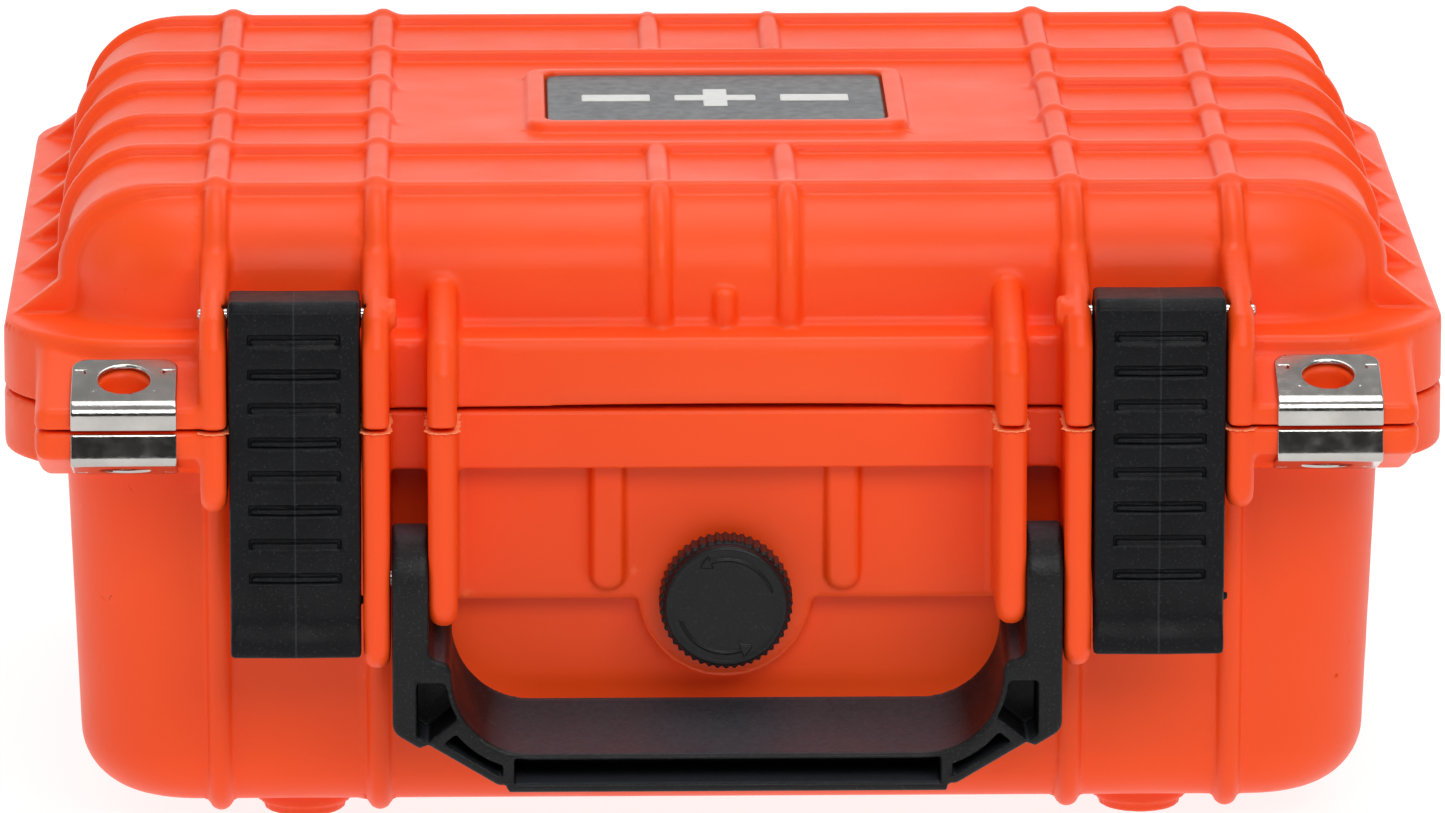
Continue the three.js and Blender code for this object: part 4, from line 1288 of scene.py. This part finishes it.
def build_gasket():
    low, high = box_mm("lid_gasket")
    clay = Clay(low, high, 0.5)
    clay.join(seal_ring(4.2, low.z, high.z, 1.0))
    place(clay.mesh("gasket_ring", RUBBER, 0.02), "lid", "black_rubber", "lid_gasket")


FOAM_PITCH = 18.0
FOAM_WAVE = 3.0


def build_foam():
    low, high = box_mm("lid_foam")
    clay = Clay(low, high, 0.9)
    slab, box_low, box_high = block(low, high, 10, 1.5)

    def crate(x, y, z):
        wave = np.cos(2 * math.pi * x / FOAM_PITCH) + np.cos(2 * math.pi * y / FOAM_PITCH)
        face = low.z + FOAM_WAVE * (1 - wave / 2) - z
        return soft_max(slab(x, y, z), face * 0.75, 1.5)

    clay.join((crate, box_low, box_high))
    piece = place(clay.mesh("foam_pad", FOAM, 0.01), "lid", "grey_foam", "lid_foam")


# The thin fins of flash that the mould left on the ribs at the seam.

FIN_RUN, FIN_SIDE_POINTS, FIN_NOSE_POINTS = 14, 12, 40
FIN_ROOT, FIN_WIDTH = -0.6, 0.45
FIN_ROOT_DEPTH, FIN_EDGE_DEPTH = 0.3, 0.22
# The height and the pace of each wave in a fin's outer edge.
FIN_WAVES = ((0.2, 0.9), (0.12, 2.3), (0.1, 4.1))
FIN_SEED_STEP = 10


def fin_path(x, half):
    """The front of a rib from above: along one side, round its nose and back along the other."""
    back = FRONT + half
    steps = np.linspace(0, FIN_RUN, FIN_SIDE_POINTS, endpoint=False)
    path = [(x - half, back + FIN_RUN - t) for t in steps]
    for a in np.linspace(0, math.pi, FIN_NOSE_POINTS):
        path.append((x - half * math.cos(a), back - half * math.sin(a)))
    return path + [(x + half, back + t) for t in np.linspace(1, FIN_RUN, FIN_SIDE_POINTS)]


def flash_fin(name, x, half, seed):
    """A flat fin round the front of a rib, with a ragged outer edge."""
    rng = np.random.default_rng(seed)
    phase = rng.uniform(0, 2 * math.pi, len(FIN_WAVES))
    path = fin_path(x, half)
    points = []
    for i, (px, py) in enumerate(path):
        outward = Vector((px - x, min(0, py - FRONT - half))).normalized()
        ragged = FIN_WIDTH
        for (height, pace), start in zip(FIN_WAVES, phase):
            ragged += height * math.sin(pace * i + start)
        section = ((FIN_ROOT, BASE_TOP - FIN_ROOT_DEPTH), (ragged, BASE_TOP - FIN_EDGE_DEPTH),
                   (ragged, BASE_TOP), (FIN_ROOT, BASE_TOP))
        for reach, z in section:
            points.append(((px + outward.x * reach) * MM, (py + outward.y * reach) * MM, z * MM))
    faces = []
    for i in range(len(path) - 1):
        for j in range(4):
            k = (j + 1) % 4
            faces.append((4 * i + j, 4 * i + 4 + j, 4 * i + 4 + k, 4 * i + k))
    last = 4 * (len(path) - 1)
    faces.append((0, 1, 2, 3))
    faces.append((last + 3, last + 2, last + 1, last))
    return mesh_object(name, points, faces, FLASH, False)


def build_flash():
    for name, side in SIDES:
        for number, bracket in enumerate(BRACKETS):
            seed = FIN_SEED_STEP * number + side + 1
            fin_name = f"seam_flash_{name}_{number}"
            fin = flash_fin(fin_name, side * bracket["x"], bracket["half"], seed)
            place(fin, "base", "orange_shell")


# The camera, the lights and the floor, in metres.

FLOOR_SIZE = 12
# The name, place, target, size and power of each light.
LIGHTS = (
    ("top_softbox", (0.1, 0.05, 1.4), (0, 0, 0.1), (1.3, 0.8), 9),
    ("front_softbox", (0.35, -1.5, 1.05), (0, -0.1, 0.05), (1.3, 0.7), 13),
    ("left_softbox", (-1.5, -0.8, 0.6), (0, 0, 0.06), (0.7, 0.9), 2.6),
)
SKY_STRENGTH = 0.8
SENSOR_WIDTH, LENS = 36, 298.1
CLIP_END = 50
CAMERA_PLACE = (-0.0429, -2.274, 0.5873)
CAMERA_DOWN, CAMERA_TURN = 13.0, -1.117


def build_stage():
    bpy.ops.mesh.primitive_plane_add(size=FLOOR_SIZE, location=(0, 0, 0))
    floor = bpy.context.object
    floor.name = "floor"
    floor.data.materials.append(floor_paint())


def area_light(name, location, target, size, power):
    data = bpy.data.lights.new(name, "AREA")
    data.shape = "RECTANGLE"
    data.size, data.size_y = size
    data.energy = power
    lamp = bpy.data.objects.new(name, data)
    lamp.location = location
    lamp.rotation_euler = (Vector(target) - Vector(location)).to_track_quat("-Z", "Y").to_euler()
    bpy.context.scene.collection.objects.link(lamp)


def build_lights():
    for light in LIGHTS:
        area_light(*light)


def build_sky():
    world = bpy.data.worlds.new("studio")
    world.use_nodes = True
    tree = world.node_tree
    background = tree.nodes["Background"]
    direction = node(tree, "ShaderNodeTexCoord").outputs["Generated"]
    split = node(tree, "ShaderNodeSeparateXYZ", {"Vector": direction})
    backdrop = ramp(tree, remap(tree, split.outputs["Y"], -0.4, 0.6, 0, 1),
                    [(0, (0.05, 0.05, 0.05)), (1, (1.4, 1.4, 1.4))])
    ceiling = ramp(tree, split.outputs["Z"], [(0.25, (0, 0, 0)), (0.7, (1, 1, 1))])
    sky = mixed(tree, ceiling, backdrop, (0.5, 0.5, 0.5))
    tree.links.new(sky, background.inputs["Color"])
    background.inputs["Strength"].default_value = SKY_STRENGTH
    bpy.context.scene.world = world
    bpy.context.scene.view_settings.view_transform = "Standard"


def build_camera():
    data = bpy.data.cameras.new("camera")
    data.sensor_width = SENSOR_WIDTH
    data.lens = LENS
    data.clip_end = CLIP_END
    camera = bpy.data.objects.new("camera", data)
    camera.location = CAMERA_PLACE
    camera.rotation_euler = (math.radians(90 - CAMERA_DOWN), 0, math.radians(CAMERA_TURN))
    bpy.context.scene.collection.objects.link(camera)
    bpy.context.scene.camera = camera


build_camera()
build_lights()
build_sky()
build_stage()
build_base()
build_lid()
build_latches()
build_handle()
build_knob()
build_valve_body()
build_valve_nut()
build_valve_seal()
build_plates()
build_hinge_pins()
build_label()
build_gasket()
build_foam()
build_flash()
